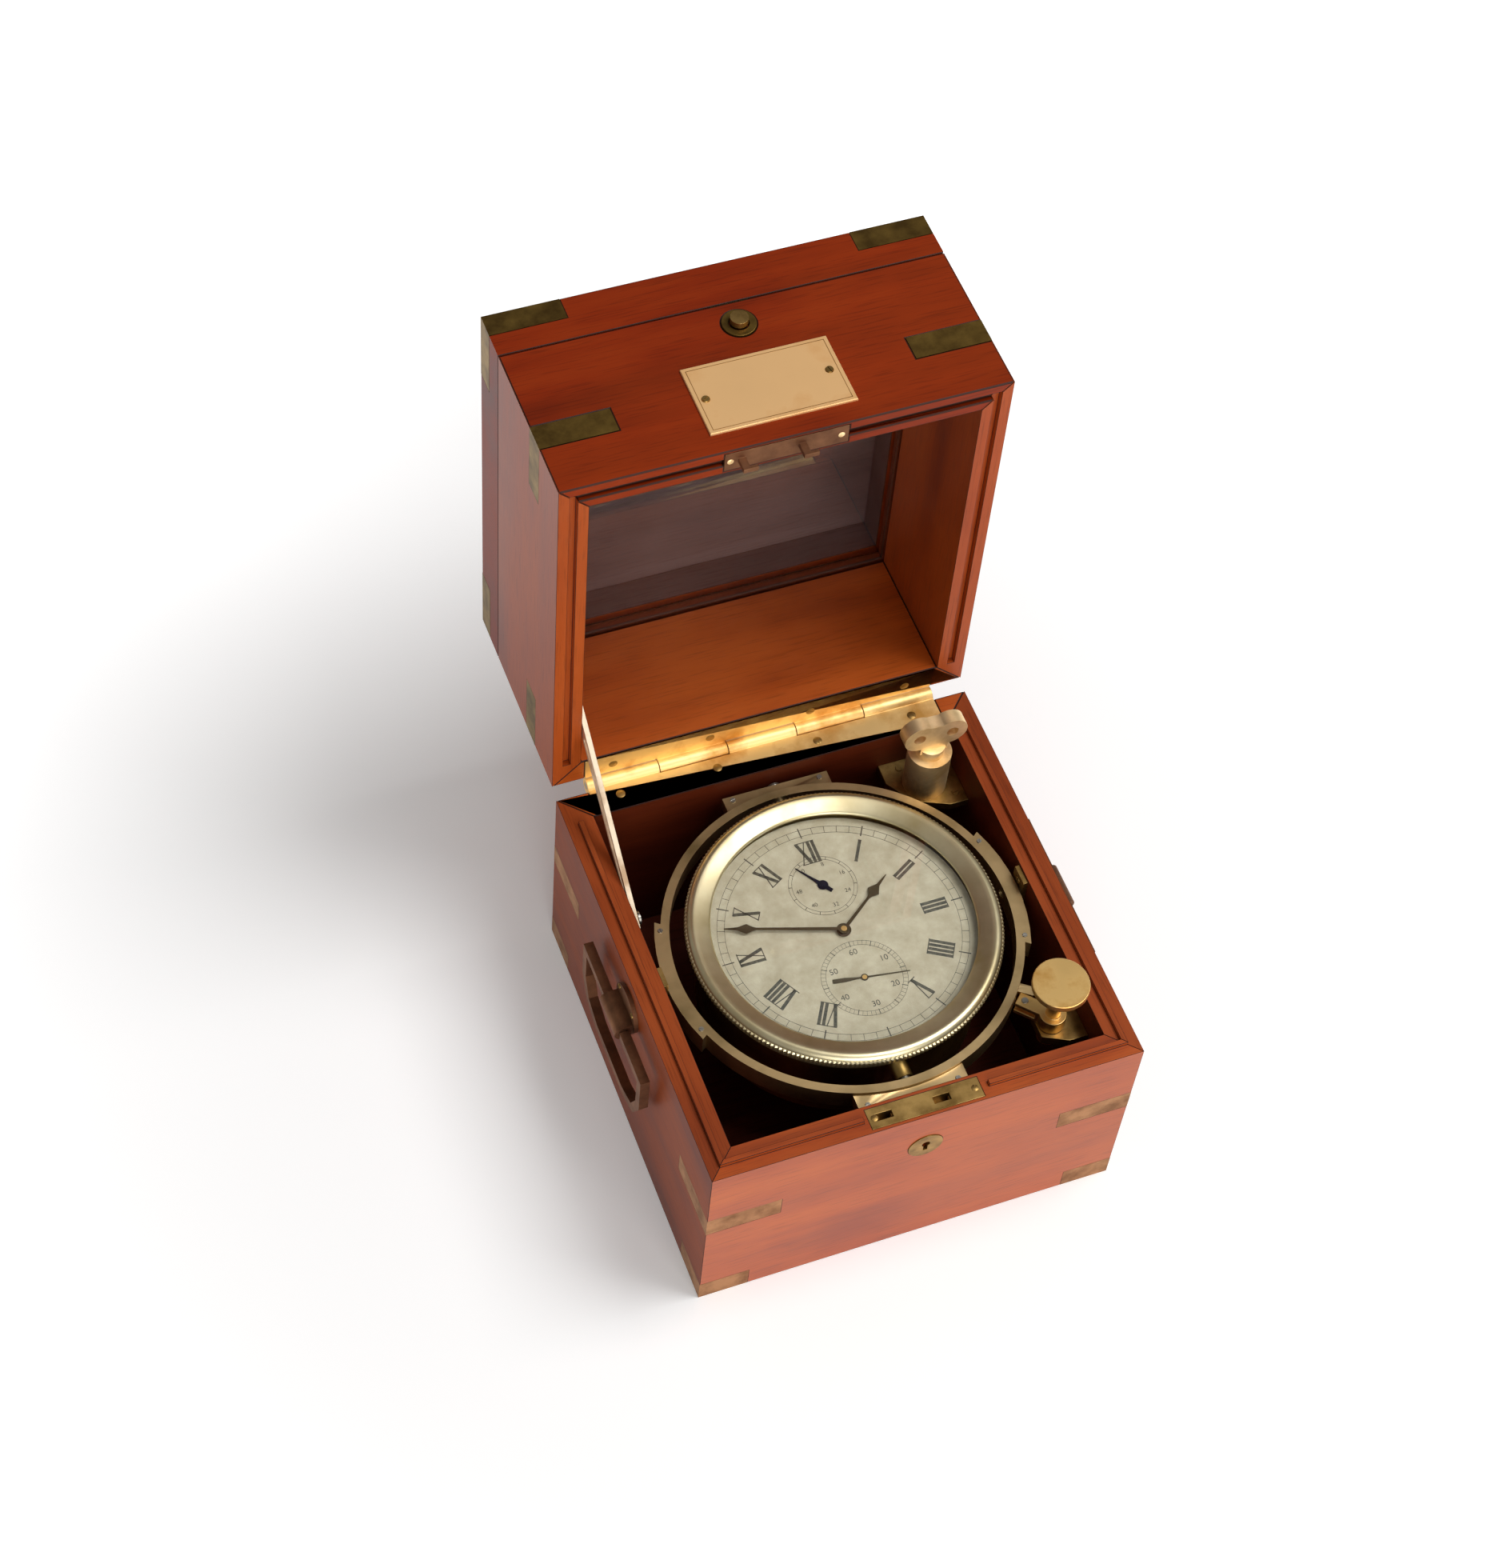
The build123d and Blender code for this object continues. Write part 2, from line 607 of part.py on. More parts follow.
def wheel(teeth, module, at, phase, z0, z1, spokes=4):
    """A crossed-out train wheel."""
    disc = prism(gear_outline(teeth, module, at, phase), z0, z1)
    r = module * teeth / 2 - 1.2 * module - 1.4
    for k in range(spokes):
        a = phase + 360 * (k + 0.5) / spokes
        half = 180 / spokes
        window = [polar(3.4, a, at), polar(r, a - half + 7, at), polar(r, a, at), polar(r, a + half - 7, at)]
        disc -= prism(window, z0 - 1, z1 + 1)
    return disc


def pinion(teeth, module, at, toward, z0, z1):
    """A pinion that shows a gap in the given direction."""
    return prism(gear_outline(teeth, module, at, toward + 180 / teeth, False), z0, z1)


def pillar_plate():
    """Plate under the dial with its four riveted pillars."""
    z0, z1 = PILLAR_PLATE
    plate = rod(CENTRE, z0, z1, SEAT_R - 0.1)
    for deg in PILLARS:
        plate += rod(polar(PILLAR_AT, deg), TOP_PLATE[1], z0, 3)
    for at, r in ((CENTRE, 1.2), (FOURTH, 1.0), (THIRD, 1.0), (FUSEE, 1.5), (ESCAPE, 0.8), (BALANCE, 1.0)):
        plate -= rod(at, z0 - 1, z1 + 1, r + FIT)
    plate -= rod(BARREL, z0 - 1, z1 + 1, 2)
    return plate - rod(RESERVE, z0 - 1, z1 + 1, 1 + FIT)


def top_plate():
    """Back plate of the movement, pinned to the pillars."""
    z0, z1 = TOP_PLATE
    plate = rod(CENTRE, z0, z1, TOP_PLATE_R)
    for at, r in ((CENTRE, 1.2), (FOURTH, 1.0), (THIRD, 1.0), (FUSEE, 1.5), (ESCAPE, 0.8), (BALANCE, 1.0)):
        plate -= rod(at, z0 - 1, z1 + 1, r + FIT)
    return plate - rod(BARREL, z0 - 1, z1 + 1, 2)


def balance_cock():
    """Cock on the back plate that carries the foot of the balance staff."""
    out = bearing(CENTRE, BALANCE)
    arm = Rot(0, 0, out) * block(-4, 25, -4, 4, 43, 46)
    foot = Rot(0, 0, out) * block(17, 25, -6, 6, 43, TOP_PLATE[0])
    cock = Pos(BALANCE[0], BALANCE[1], 0) * (arm + foot)
    return cock - rod(BALANCE, 44.5, 47, 1 + FIT)


def centre_wheel():
    arbor = rod(CENTRE, 60.8, 94.1, 1.2)
    return (arbor + wheel(60, M_CENTRE, CENTRE, bearing(CENTRE, THIRD), 82, 83.2)
            + pinion(10, M_GREAT, CENTRE, bearing(CENTRE, FUSEE), 65.5, 70))


def third_wheel():
    arbor = rod(THIRD, 60.8, 87.7, 1.0)
    return (arbor + wheel(64, M_THIRD, THIRD, bearing(THIRD, FOURTH), 78, 79.2)
            + pinion(8, M_CENTRE, THIRD, bearing(THIRD, CENTRE), 80.8, 84.5))


def fourth_wheel():
    arbor = rod(FOURTH, 60.8, 92.4, 1.0)
    return (arbor + wheel(64, M_FOURTH, FOURTH, bearing(FOURTH, ESCAPE), 71, 72)
            + pinion(8, M_THIRD, FOURTH, bearing(FOURTH, THIRD), 76.5, 81))


def escape_wheel():
    """Fifteen raked teeth and the escape pinion."""
    points = []
    for k in range(15):
        a = 24 * k
        points += [polar(6.3, a - 9, ESCAPE), polar(8, a + 6, ESCAPE), polar(6.2, a + 7, ESCAPE)]
    disc = prism(points, 64.5, 65.5)
    return (disc + rod(ESCAPE, 60.8, 87.7, 0.8)
            + pinion(8, M_FOURTH, ESCAPE, bearing(ESCAPE, FOURTH), 69, 74))


def fusee():
    """Great wheel, grooved cone and winding square on one arbor."""
    radii = (10.8, 9.0, 7.4)
    profile = [(0, 68), (radii[0] + 1, 68), (radii[0] + 1, 70.4)]
    for k, r in enumerate(radii):
        z = 71.6 + 3.4 * k
        land = (radii[min(k + 1, 2)] + r) / 2 + 0.8
        profile += [(r, z - 1.2), (r, z + 1.2), (land, z + 1.2), (land, z + 2.2 if k < 2 else 81)]
    profile += [(0, 81)]
    cone = Pos(FUSEE[0], FUSEE[1], 0) * turned(profile)
    x, y = FUSEE
    square = block(x - 1.7, x + 1.7, y - 1.7, y + 1.7, 35, 50)
    great = prism(gear_outline(60, M_GREAT, FUSEE, bearing(FUSEE, CENTRE)), 66.5, 68.5)
    return cone + great + rod(FUSEE, 49, 87.7, 1.5) + square


def barrel():
    """Mainspring barrel turning on its fixed arbor."""
    drum = rod(BARREL, 65, 80.5, 15) - rod(BARREL, 66.2, 79.3, 13.8)
    return drum - rod(BARREL, 64, 82, 2 + FIT)


def mainspring():
    """Barrel arbor with the coiled spring hooked to it."""
    points = []
    back = []
    for k in range(49):
        a = 22.5 * k
        r = 4.2 + 8.2 * k / 48
        points.append(polar(r, a, BARREL))
        back.append(polar(r + 0.6, a, BARREL))
    coil = prism(points + back[::-1], 67, 78.6)
    hook = prism([polar(1.5, -12, BARREL), polar(4.6, -4, BARREL), polar(4.6, 4, BARREL), polar(1.5, 12, BARREL)], 67, 78.6)
    return coil + hook + rod(BARREL, TOP_PLATE[0], PILLAR_PLATE[1], 2)


def fusee_chain():
    """The run of chain from barrel to fusee, as one thin band at mid height."""
    inner_b, inner_f, t = 15.35, 9.25, 0.7
    base = bearing(FUSEE, BARREL)
    lean = math.degrees(math.asin((inner_b - inner_f) / math.dist(FUSEE, BARREL)))
    tangent = base + 90 + lean
    near = [polar(inner_f, tangent + 150 * k / 10, FUSEE) for k in range(10, -1, -1)]
    near += [polar(inner_b, tangent - 200 * k / 12, BARREL) for k in range(13)]
    far = [polar(inner_f + t, tangent + 150 * k / 10, FUSEE) for k in range(10, -1, -1)]
    far += [polar(inner_b + t, tangent - 200 * k / 12, BARREL) for k in range(13)]
    return prism(near + far[::-1], 74.6, 75.4)


def balance_wheel():
    """Split compensation rims, arm, weights, staff and impulse roller."""
    x, y = BALANCE
    rim = rod(BALANCE, 53, 56, 14) - rod(BALANCE, 52, 57, 12.4)
    arm = block(x - 13, x + 13, y - 1.3, y + 1.3, 53, 54.4)
    for s in (-1, 1):
        rim -= block(min(x + s * 9, x + s * 15), max(x + s * 9, x + s * 15), y + s * 2.4 - 0.6, y + s * 2.4 + 0.6, 52, 57)
    wheel_solid = rim + arm + rod(BALANCE, 44.7, 87.7, 1.0) + rod(BALANCE, 64.5, 65.5, 5)
    for deg in (70, 250):
        wheel_solid += rod(polar(13.2, deg, BALANCE), 52.4, 56.6, 1.9)
    return wheel_solid


def hairspring():
    """Cylindrical balance spring between cock and balance."""
    turns, steps, r, z0, z1 = 5, 12, 4.6, 46.8, 52.2
    points = []
    for k in range(turns * steps + 1):
        px, py = polar(r, 360 * k / steps, BALANCE)
        points.append((px, py, z0 + (z1 - z0) * k / (turns * steps)))
    path = Polyline(*points)
    section = Plane(origin=path @ 0, z_dir=path % 0) * Rectangle(0.5, 0.5)
    return sweep(section, path=path, transition=Transition.RIGHT)


def detent():
    """Spring detent with its foot on the back plate."""
    foot = (-36.0, -11.0)
    tip = (-23.4, -14.2)
    a = bearing(foot, tip)
    blade = Rot(0, 0, a) * block(0, math.dist(foot, tip), -0.5, 0.5, 64.3, 65.6)
    block_foot = Rot(0, 0, a) * block(-6, 1, -2.5, 2.5, 63.3, 67)
    return Pos(foot[0], foot[1], 0) * (blade + block_foot)


def hand(at, deg, z0, z1, outline, hub, bore=0.0):
    """A flat hand pointing in a plan direction, on a round hub."""
    blade = prism([polar(math.hypot(u, v), deg + math.degrees(math.atan2(v, u)), at) for u, v in outline], z0, z1)
    piece = blade + rod(at, z0, z1, hub)
    return piece - rod(at, z0 - 5, z1 + 5, bore) if bore else piece


def spade(length, width, neck):
    """Half-symmetric spade outline along +u."""
    tip = length
    half = [(0, 0.7), (neck, 0.5), (neck + 1.5, 0.9), (neck + 4, width), (neck + 7.5, 0.7), (tip, 0.15)]
    return half + [(u, -v) for u, v in reversed(half)]


def hour_hand():
    tube = rod(CENTRE, 89, 92.9, 2.6) - rod(CENTRE, 88, 94, 1.2 + FIT)
    return hand(CENTRE, 36.5, 92.7, 93.1, spade(32.2, 2.6, 18.5), 3.0, 1.2 + FIT) + tube


def minute_hand():
    return hand(CENTRE, 162.0, 93.5, 93.9, spade(48, 2.2, 35.0), 2.3, 1.2)


def seconds_hand():
    outline = [(-12.9, 0.9), (-8, 0.9), (-3, 0.35), (18.6, 0.12), (18.6, -0.12), (-3, -0.35), (-8, -0.9), (-12.9, -0.9)]
    return hand(FOURTH, -8.6, 92.1, 92.4, outline, 1.5, 1.0)


def reserve_hand():
    outline = [(-4.5, 0.8), (0, 1.0), (5, 0.5), (13.3, 0.15), (13.3, -0.15), (5, -0.5), (0, -1.0), (-4.5, -0.8)]
    return hand(RESERVE, 126.0, 92.1, 92.4, outline, 2.2) + rod(RESERVE, 87, 92.2, 1.0)


def closed_nodes():
    """Pieces of the tier and the top lid, drawn closed."""
    nodes = {
        "tier_front_board": tier_board("front"),
        "tier_back_board": tier_board("back"),
        "tier_side_boards": group([tier_board("left"), tier_board("right")]),
        "viewing_glass": block(-81.7, 81.7, -83.2, 83.2, REBATE_Z, 160.5),
        "glass_beading": group(mitred_strip(82, 83.5, 5, 160.5, 164)),
        "tier_straps": group(tier_strap_solids()),
        "main_hinge_tier_leaf": main_tier_leaf(),
        "strike_plate": strike_plate(),
        "button_escutcheon": button_escutcheon(),
        "top_hinge_tier_leaves": group(top_hinge_leaves(True)),
        "top_lid_boards": group(lid_boards()),
        "top_lid_straps": group(four_corners(lid_strap)),
        "top_hinge_lid_leaves": group(top_hinge_leaves(False)),
        "lid_catch": lid_catch(),
        "push_button": push_button(),
    }
    return {name: swung_open(shape) for name, shape in nodes.items()}


def all_nodes():
    """Every node of the chronometer in its rest position."""
    nodes = {
        "base_front_board": base_board("front"),
        "base_back_board": base_board("back"),
        "base_side_boards": group([base_board("left"), base_board("right")]),
        "base_bottom_board": block(-IN_W, IN_W, -IN_D, IN_D, 0, BOTTOM_T),
        "base_straps": group(base_strap_solids()),
        "box_lock": box_lock(),
        "lock_bolt": lock_bolt(),
        "keyhole_escutcheon": keyhole_escutcheon(),
        "gimbal_bearings": group(gimbal_bearings()),
        "gimbal_lock_bracket": lock_bracket(),
        "key_holder": key_holder(),
        "main_hinge_base_leaf": main_base_leaf(),
        "main_hinge_pin": rod_x(HINGE_Y, HINGE_Z, -LEAF_HALF, LEAF_HALF, PIN_R),
        "stay_stud": stay_stud(),
        "handle_lugs": group([handle_lug(-1), handle_lug(1)]),
        "left_handle": drop_handle(-1),
        "right_handle": drop_handle(1),
        "winding_key": winding_key(),
        "gimbal_lock_lever": lock_lever(),
        "lid_stay": lid_stay(),
        "gimbal_ring": gimbal_ring(),
        "gimbal_pivot_screws": group(gimbal_pivot_screws()),
        "bowl": bowl(),
        "winding_shutter": winding_shutter(),
        "bezel": bezel(),
        "crystal": rod(CENTRE, 94.9, 96.4, 56.05),
        "dial": dial(),
        "pillar_plate": pillar_plate(),
        "top_plate": top_plate(),
        "balance_cock": balance_cock(),
        "fusee_chain": fusee_chain(),
        "detent": detent(),
        "fusee": fusee(),
        "barrel": barrel(),
        "mainspring": mainspring(),
        "centre_wheel": centre_wheel(),
        "third_wheel": third_wheel(),
        "fourth_wheel": fourth_wheel(),
        "escape_wheel": escape_wheel(),
        "balance_wheel": balance_wheel(),
        "hairspring": hairspring(),
        "hour_hand": hour_hand(),
        "minute_hand": minute_hand(),
        "seconds_hand": seconds_hand(),
        "reserve_hand": reserve_hand(),
    }
    nodes.update(closed_nodes())
    return nodes


def main():
    os.makedirs("parts", exist_ok=True)
    for name, shape in all_nodes().items():
        export_step(shape, f"parts/{name}.step")


main()
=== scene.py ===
"""Marine chronometer in its open mahogany box, photographed on a white sweep.

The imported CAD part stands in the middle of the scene. Smoothed copies of its nodes carry the real
edge rounding and finishes, and the pieces made here add screws, knurling, engraving and the plaque.
Lengths are in metres in the scene and in millimetres in the size fields of the classes.
"""

import json
import logging
import math
from dataclasses import dataclass, field
from enum import Enum
from typing import Callable, Iterable, Optional, Sequence, Union

import bmesh
import bpy
from mathutils import Matrix, Vector

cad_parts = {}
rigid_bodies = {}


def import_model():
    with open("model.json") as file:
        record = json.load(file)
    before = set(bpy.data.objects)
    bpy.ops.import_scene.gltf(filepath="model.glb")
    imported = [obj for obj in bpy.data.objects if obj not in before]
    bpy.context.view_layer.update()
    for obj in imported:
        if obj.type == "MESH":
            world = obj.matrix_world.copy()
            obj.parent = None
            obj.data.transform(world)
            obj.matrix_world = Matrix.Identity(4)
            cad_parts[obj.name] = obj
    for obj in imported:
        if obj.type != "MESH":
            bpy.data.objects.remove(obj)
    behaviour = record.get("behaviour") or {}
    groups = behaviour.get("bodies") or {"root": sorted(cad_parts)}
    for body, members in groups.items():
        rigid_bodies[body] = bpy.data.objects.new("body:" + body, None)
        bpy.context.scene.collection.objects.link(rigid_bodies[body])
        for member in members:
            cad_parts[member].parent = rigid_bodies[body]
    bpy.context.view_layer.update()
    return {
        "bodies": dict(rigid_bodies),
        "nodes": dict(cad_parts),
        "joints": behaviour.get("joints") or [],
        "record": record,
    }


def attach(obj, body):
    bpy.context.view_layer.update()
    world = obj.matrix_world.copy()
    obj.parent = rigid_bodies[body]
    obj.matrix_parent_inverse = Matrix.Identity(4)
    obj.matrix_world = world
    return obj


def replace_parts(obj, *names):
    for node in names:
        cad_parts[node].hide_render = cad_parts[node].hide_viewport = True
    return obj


logging.basicConfig(level=logging.INFO, format="%(message)s")
log = logging.getLogger("chronometer")

Value = Union[bpy.types.NodeSocket, float, Sequence[float]]
Point = tuple[float, float]

MM = 0.001
# The main hinge's pin, which the middle tier and the top lid turn about.
HINGE = Vector((0.0, 95.2, 97.0))
OPEN_DEG = 90.8
# Heights of the shut box: the base's top face and the tier's underside just above it.
BASE_TOP = 98.0
RIM_Z = 98.3
# The outer faces of the front and of the dial plate.
FRONT_Y = -91.5
DIAL_TOP = 91.8
# How far the screw heads in the rims stand up, so that the box shuts over them.
FLUSH = 0.12
# A CAD node's copy: points closer than this in metres are one, and flatter edges than this go.
MERGE = 0.000002
FLAT_DEG = 0.6
# Edges sharper than this are rounded.
ROUND_FROM_DEG = 40.0


class Axis(Enum):
    """Direction of the grain."""

    X = Vector((1, 0, 0))
    Y = Vector((0, 1, 0))
    Z = Vector((0, 0, 1))


def swung_open() -> Matrix:
    """Matrix in millimetres from the closed lid to the open rest position."""
    turn = Matrix.Rotation(math.radians(-OPEN_DEG), 4, "X")
    return Matrix.Translation(HINGE) @ turn @ Matrix.Translation(-HINGE)


OPEN = swung_open()


def linear(hex_colour: str) -> tuple[float, float, float, float]:
    """Scene-linear colour of an sRGB hex code.

    Args:
        hex_colour: six hex digits after a hash.

    Returns:
        Red, green, blue and alpha.
    """
    values = [int(hex_colour[i:i + 2], 16) / 255 for i in (1, 3, 5)]
    red, green, blue = [v / 12.92 if v <= 0.04045 else ((v + 0.055) / 1.055) ** 2.4 for v in values]
    return (red, green, blue, 1.0)


def per_metre(size: float) -> float:
    """Texture scale whose features are this many millimetres wide."""
    return 1 / (size * MM)


# Finishes

def feed(tree: bpy.types.NodeTree, socket: bpy.types.NodeSocket, value: Value) -> None:
    """Link an input to a socket, or set its plain value.

    Args:
        tree: the node tree.
        socket: the input.
        value: an output socket or a plain value.
    """
    if isinstance(value, bpy.types.NodeSocket):
        tree.links.new(value, socket)
    else:
        socket.default_value = value


def add_node(tree: bpy.types.NodeTree, kind: str, links: Optional[dict[Union[str, int], Value]] = None,
             stops: Sequence[tuple[float, str]] = (), **settings: object) -> bpy.types.Node:
    """Add one node, set its attributes and link or fill its inputs.

    Args:
        tree: the node tree.
        kind: the node's type name.
        links: input name or number to a socket or a plain value.
        stops: places and hex colours of a colour ramp.
        settings: attributes of the node.

    Returns:
        The new node.
    """
    node = tree.nodes.new(kind)
    for key, value in settings.items():
        setattr(node, key, value)
    for key, value in (links or {}).items():
        feed(tree, node.inputs[key], value)
    elements = node.color_ramp.elements if stops else ()
    while len(elements) < len(stops):
        elements.new(0.5)
    for element, (at, colour) in zip(elements, stops):
        element.position = at
        element.color = linear(colour)
    return node


class Shader:
    """A material's node tree with its surface shader and the piece's own coordinates."""

    def __init__(self, name: str) -> None:
        """Make an empty material.

        Args:
            name: the material's name.
        """
        self.material = bpy.data.materials.new(name)
        self.material.use_nodes = True
        self.tree = self.material.node_tree
        self.body = next(n for n in self.tree.nodes if n.type == "BSDF_PRINCIPLED")
        self.place = self.add("ShaderNodeTexCoord").outputs["Object"]

    def add(self, kind: str, links: Optional[dict] = None, **settings: object) -> bpy.types.Node:
        """Add one node to this material."""
        return add_node(self.tree, kind, links, **settings)

    def set(self, **values: Value) -> None:
        """Feed inputs of the surface shader by name, spaces written as underscores.

        Args:
            values: input name to a socket or a plain value.
        """
        for key, value in values.items():
            feed(self.tree, self.body.inputs[key.replace("_", " ")], value)


@dataclass(frozen=True)
class Mahogany:
    """French-polished Cuban mahogany: ribbon figure, dark pores and a thin glossy polish.

    Sizes are a figure's and a pore's length and width, and the width of the paler clouds. Real pores
    are finer than these, which are drawn as coarse as they need to be to show.
    """

    name: str
    grain: Axis
    deep: str = "#7C2A0A"
    mid: str = "#A8460E"
    light: str = "#C05C1E"
    rough: float = 0.36
    coat: float = 0.2
    seed: float = 0.0
    gloss: float = 0.3
    figure_size: Point = (200.0, 21.74)
    pore_size: Point = (16.67, 0.667)
    cloud_size: float = 76.9

    def build(self) -> bpy.types.Material:
        """Make the material.

        Returns:
            The new material.
        """
        s = Shader(self.name)
        shapes = []
        for long, wide in (self.figure_size, self.pore_size):
            scale = [per_metre(long if along else wide) for along in self.grain.value]
            shapes.append(s.add("ShaderNodeMapping", {"Vector": s.place, "Scale": scale}).outputs[0])
        apart = [self.seed, self.seed * 1.7, self.seed * 2.3]
        moved = s.add("ShaderNodeVectorMath", {0: shapes[0], 1: apart}).outputs[0]
        figure = s.add("ShaderNodeTexNoise", {"Vector": moved, "Scale": 1.0, "Detail": 5.0,
                                              "Roughness": 0.55}).outputs["Fac"]
        ribbon = s.add("ShaderNodeTexNoise", {"Vector": moved, "Scale": 0.35, "Detail": 2.0}).outputs["Fac"]
        pores = s.add("ShaderNodeTexNoise", {"Vector": shapes[1], "Scale": 1.0, "Detail": 2.0,
                                             "Roughness": 0.6}).outputs["Fac"]
        cloud = s.add("ShaderNodeTexNoise", {"Vector": s.place, "Scale": per_metre(self.cloud_size),
                                             "Detail": 3.0}).outputs["Fac"]
        base = s.add("ShaderNodeValToRGB", {"Fac": figure},
                     stops=((0.3, self.deep), (0.52, self.mid), (0.74, self.light))).outputs[0]
        calm = s.add("ShaderNodeMapRange", {"Value": ribbon, "To Min": 0.0, "To Max": 0.45}).outputs[0]
        pale = s.add("ShaderNodeMapRange", {"Value": cloud, "From Min": 0.36, "From Max": 0.64,
                                            "To Min": 0.0, "To Max": 0.5}).outputs[0]
        dark = s.add("ShaderNodeMapRange", {"Value": pores, "From Min": 0.34, "From Max": 0.46,
                                            "To Min": 0.62, "To Max": 1.0}).outputs[0]
        grey = s.add("ShaderNodeCombineColor", {0: dark, 1: dark, 2: dark}).outputs[0]
        for factor, tone, blend in ((calm, linear(self.mid), "MIX"), (pale, linear(self.light), "MIX"),
                                    (0.6, grey, "MULTIPLY")):
            base = s.add("ShaderNodeMix", {"Factor": factor, 6: base, 7: tone}, data_type="RGBA",
                         blend_type=blend).outputs[2]
        sheen = s.add("ShaderNodeMapRange", {"Value": figure, "To Min": self.rough - 0.05,
                                             "To Max": self.rough + 0.08}).outputs[0]
        relief = s.add("ShaderNodeBump", {"Height": pores, "Distance": 0.00003, "Strength": 0.25}).outputs[0]
        s.set(Base_Color=base, Roughness=sheen, Normal=relief)
        s.set(Coat_Weight=self.coat, Coat_Roughness=0.2, Specular_IOR_Level=self.gloss)
        return s.material


@dataclass(frozen=True)
class Brass:
    """Lacquered brass: rubbed bright and dull patches of a given width, and fine scratches."""

    name: str
    bright: str
    dull: str
    rough: float
    patch_size: float
    tarnish: float = 0.5
    metal: float = 1.0
    scratch_size: float = 1.11

    def build(self) -> bpy.types.Material:
        """Make the material.

        Returns:
            The new material.
        """
        s = Shader(self.name)
        cloud = s.add("ShaderNodeTexNoise", {"Vector": s.place, "Scale": per_metre(self.patch_size),
                                             "Detail": 5.0, "Roughness": 0.6}).outputs["Fac"]
        fine = s.add("ShaderNodeTexNoise", {"Vector": s.place, "Scale": per_metre(self.scratch_size),
                                            "Detail": 3.0}).outputs["Fac"]
        tone = s.add("ShaderNodeValToRGB", {"Fac": cloud},
                     stops=((0.35, self.dull), (0.35 + 0.4 * self.tarnish, self.bright))).outputs[0]
        sheen = s.add("ShaderNodeMapRange", {"Value": cloud, "To Min": self.rough + 0.1,
                                             "To Max": self.rough - 0.04}).outputs[0]
        relief = s.add("ShaderNodeBump", {"Height": fine, "Distance": 0.000012, "Strength": 0.3}).outputs[0]
        s.set(Base_Color=tone, Metallic=self.metal, Roughness=sheen, Normal=relief)
        return s.material


@dataclass(frozen=True)
class TurnedBrass:
    """Brass turned on the lathe: faint tool rings about the dial's axis and soft patches."""

    name: str
    bright: str
    dull: str
    rough: float
    ring_size: float = 0.385
    patch_size: float = 25.0

    def build(self) -> bpy.types.Material:
        """Make the material.

        Returns:
            The new material.
        """
        s = Shader(self.name)
        flat = s.add("ShaderNodeVectorMath", {0: s.place, 1: (1.0, 1.0, 0.0)},
                     operation="MULTIPLY").outputs[0]
        radius = s.add("ShaderNodeVectorMath", {0: flat}, operation="LENGTH").outputs["Value"]
        rings = s.add("ShaderNodeCombineXYZ", {0: radius}).outputs[0]
        lathe = s.add("ShaderNodeTexNoise", {"Vector": rings, "Scale": per_metre(self.ring_size),
                                             "Detail": 2.0}).outputs["Fac"]
        cloud = s.add("ShaderNodeTexNoise", {"Vector": s.place, "Scale": per_metre(self.patch_size),
                                             "Detail": 4.0}).outputs["Fac"]
        tone = s.add("ShaderNodeValToRGB", {"Fac": cloud},
                     stops=((0.3, self.dull), (0.6, self.bright))).outputs[0]
        sheen = s.add("ShaderNodeMapRange", {"Value": cloud, "To Min": self.rough + 0.08,
                                             "To Max": self.rough}).outputs[0]
        relief = s.add("ShaderNodeBump", {"Height": lathe, "Distance": 0.00001, "Strength": 0.35}).outputs[0]
        s.set(Base_Color=tone, Metallic=1.0, Roughness=sheen, Normal=relief)
        return s.material


@dataclass(frozen=True)
class Silvering:
    """Silvered brass dial, rubbed matt: a warm pale grey with soft clouds of age."""

    name: str
    light: str = "#BFB39C"
    dark: str = "#A4977E"
    cloud_size: float = 9.09
    speck_size: float = 0.714

    def build(self) -> bpy.types.Material:
        """Make the material.

        Returns:
            The new material.
        """
        s = Shader(self.name)
        cloud = s.add("ShaderNodeTexNoise", {"Vector": s.place, "Scale": per_metre(self.cloud_size),
                                             "Detail": 7.0, "Roughness": 0.7}).outputs["Fac"]
        speck = s.add("ShaderNodeTexNoise", {"Vector": s.place, "Scale": per_metre(self.speck_size),
                                             "Detail": 2.0}).outputs["Fac"]
        tone = s.add("ShaderNodeValToRGB", {"Fac": cloud},
                     stops=((0.3, self.dark), (0.7, self.light))).outputs[0]
        relief = s.add("ShaderNodeBump", {"Height": speck, "Distance": 0.00001, "Strength": 0.3}).outputs[0]
        s.set(Base_Color=tone, Metallic=0.1, Roughness=0.55, Normal=relief)
        return s.material


@dataclass(frozen=True)
class Steel:
    """Polished, bronzed or heat-blued steel: an even dark or pale gleam, dulled in spots."""

    name: str
    colour: str
    rough: float
    spot_size: float = 3.33

    def build(self) -> bpy.types.Material:
        """Make the material.

        Returns:
            The new material.
        """
        s = Shader(self.name)
        cloud = s.add("ShaderNodeTexNoise", {"Vector": s.place, "Scale": per_metre(self.spot_size),
                                             "Detail": 3.0}).outputs["Fac"]
        sheen = s.add("ShaderNodeMapRange", {"Value": cloud, "To Min": self.rough,
                                             "To Max": self.rough + 0.12}).outputs[0]
        s.set(Base_Color=linear(self.colour), Metallic=1.0, Roughness=sheen)
        return s.material


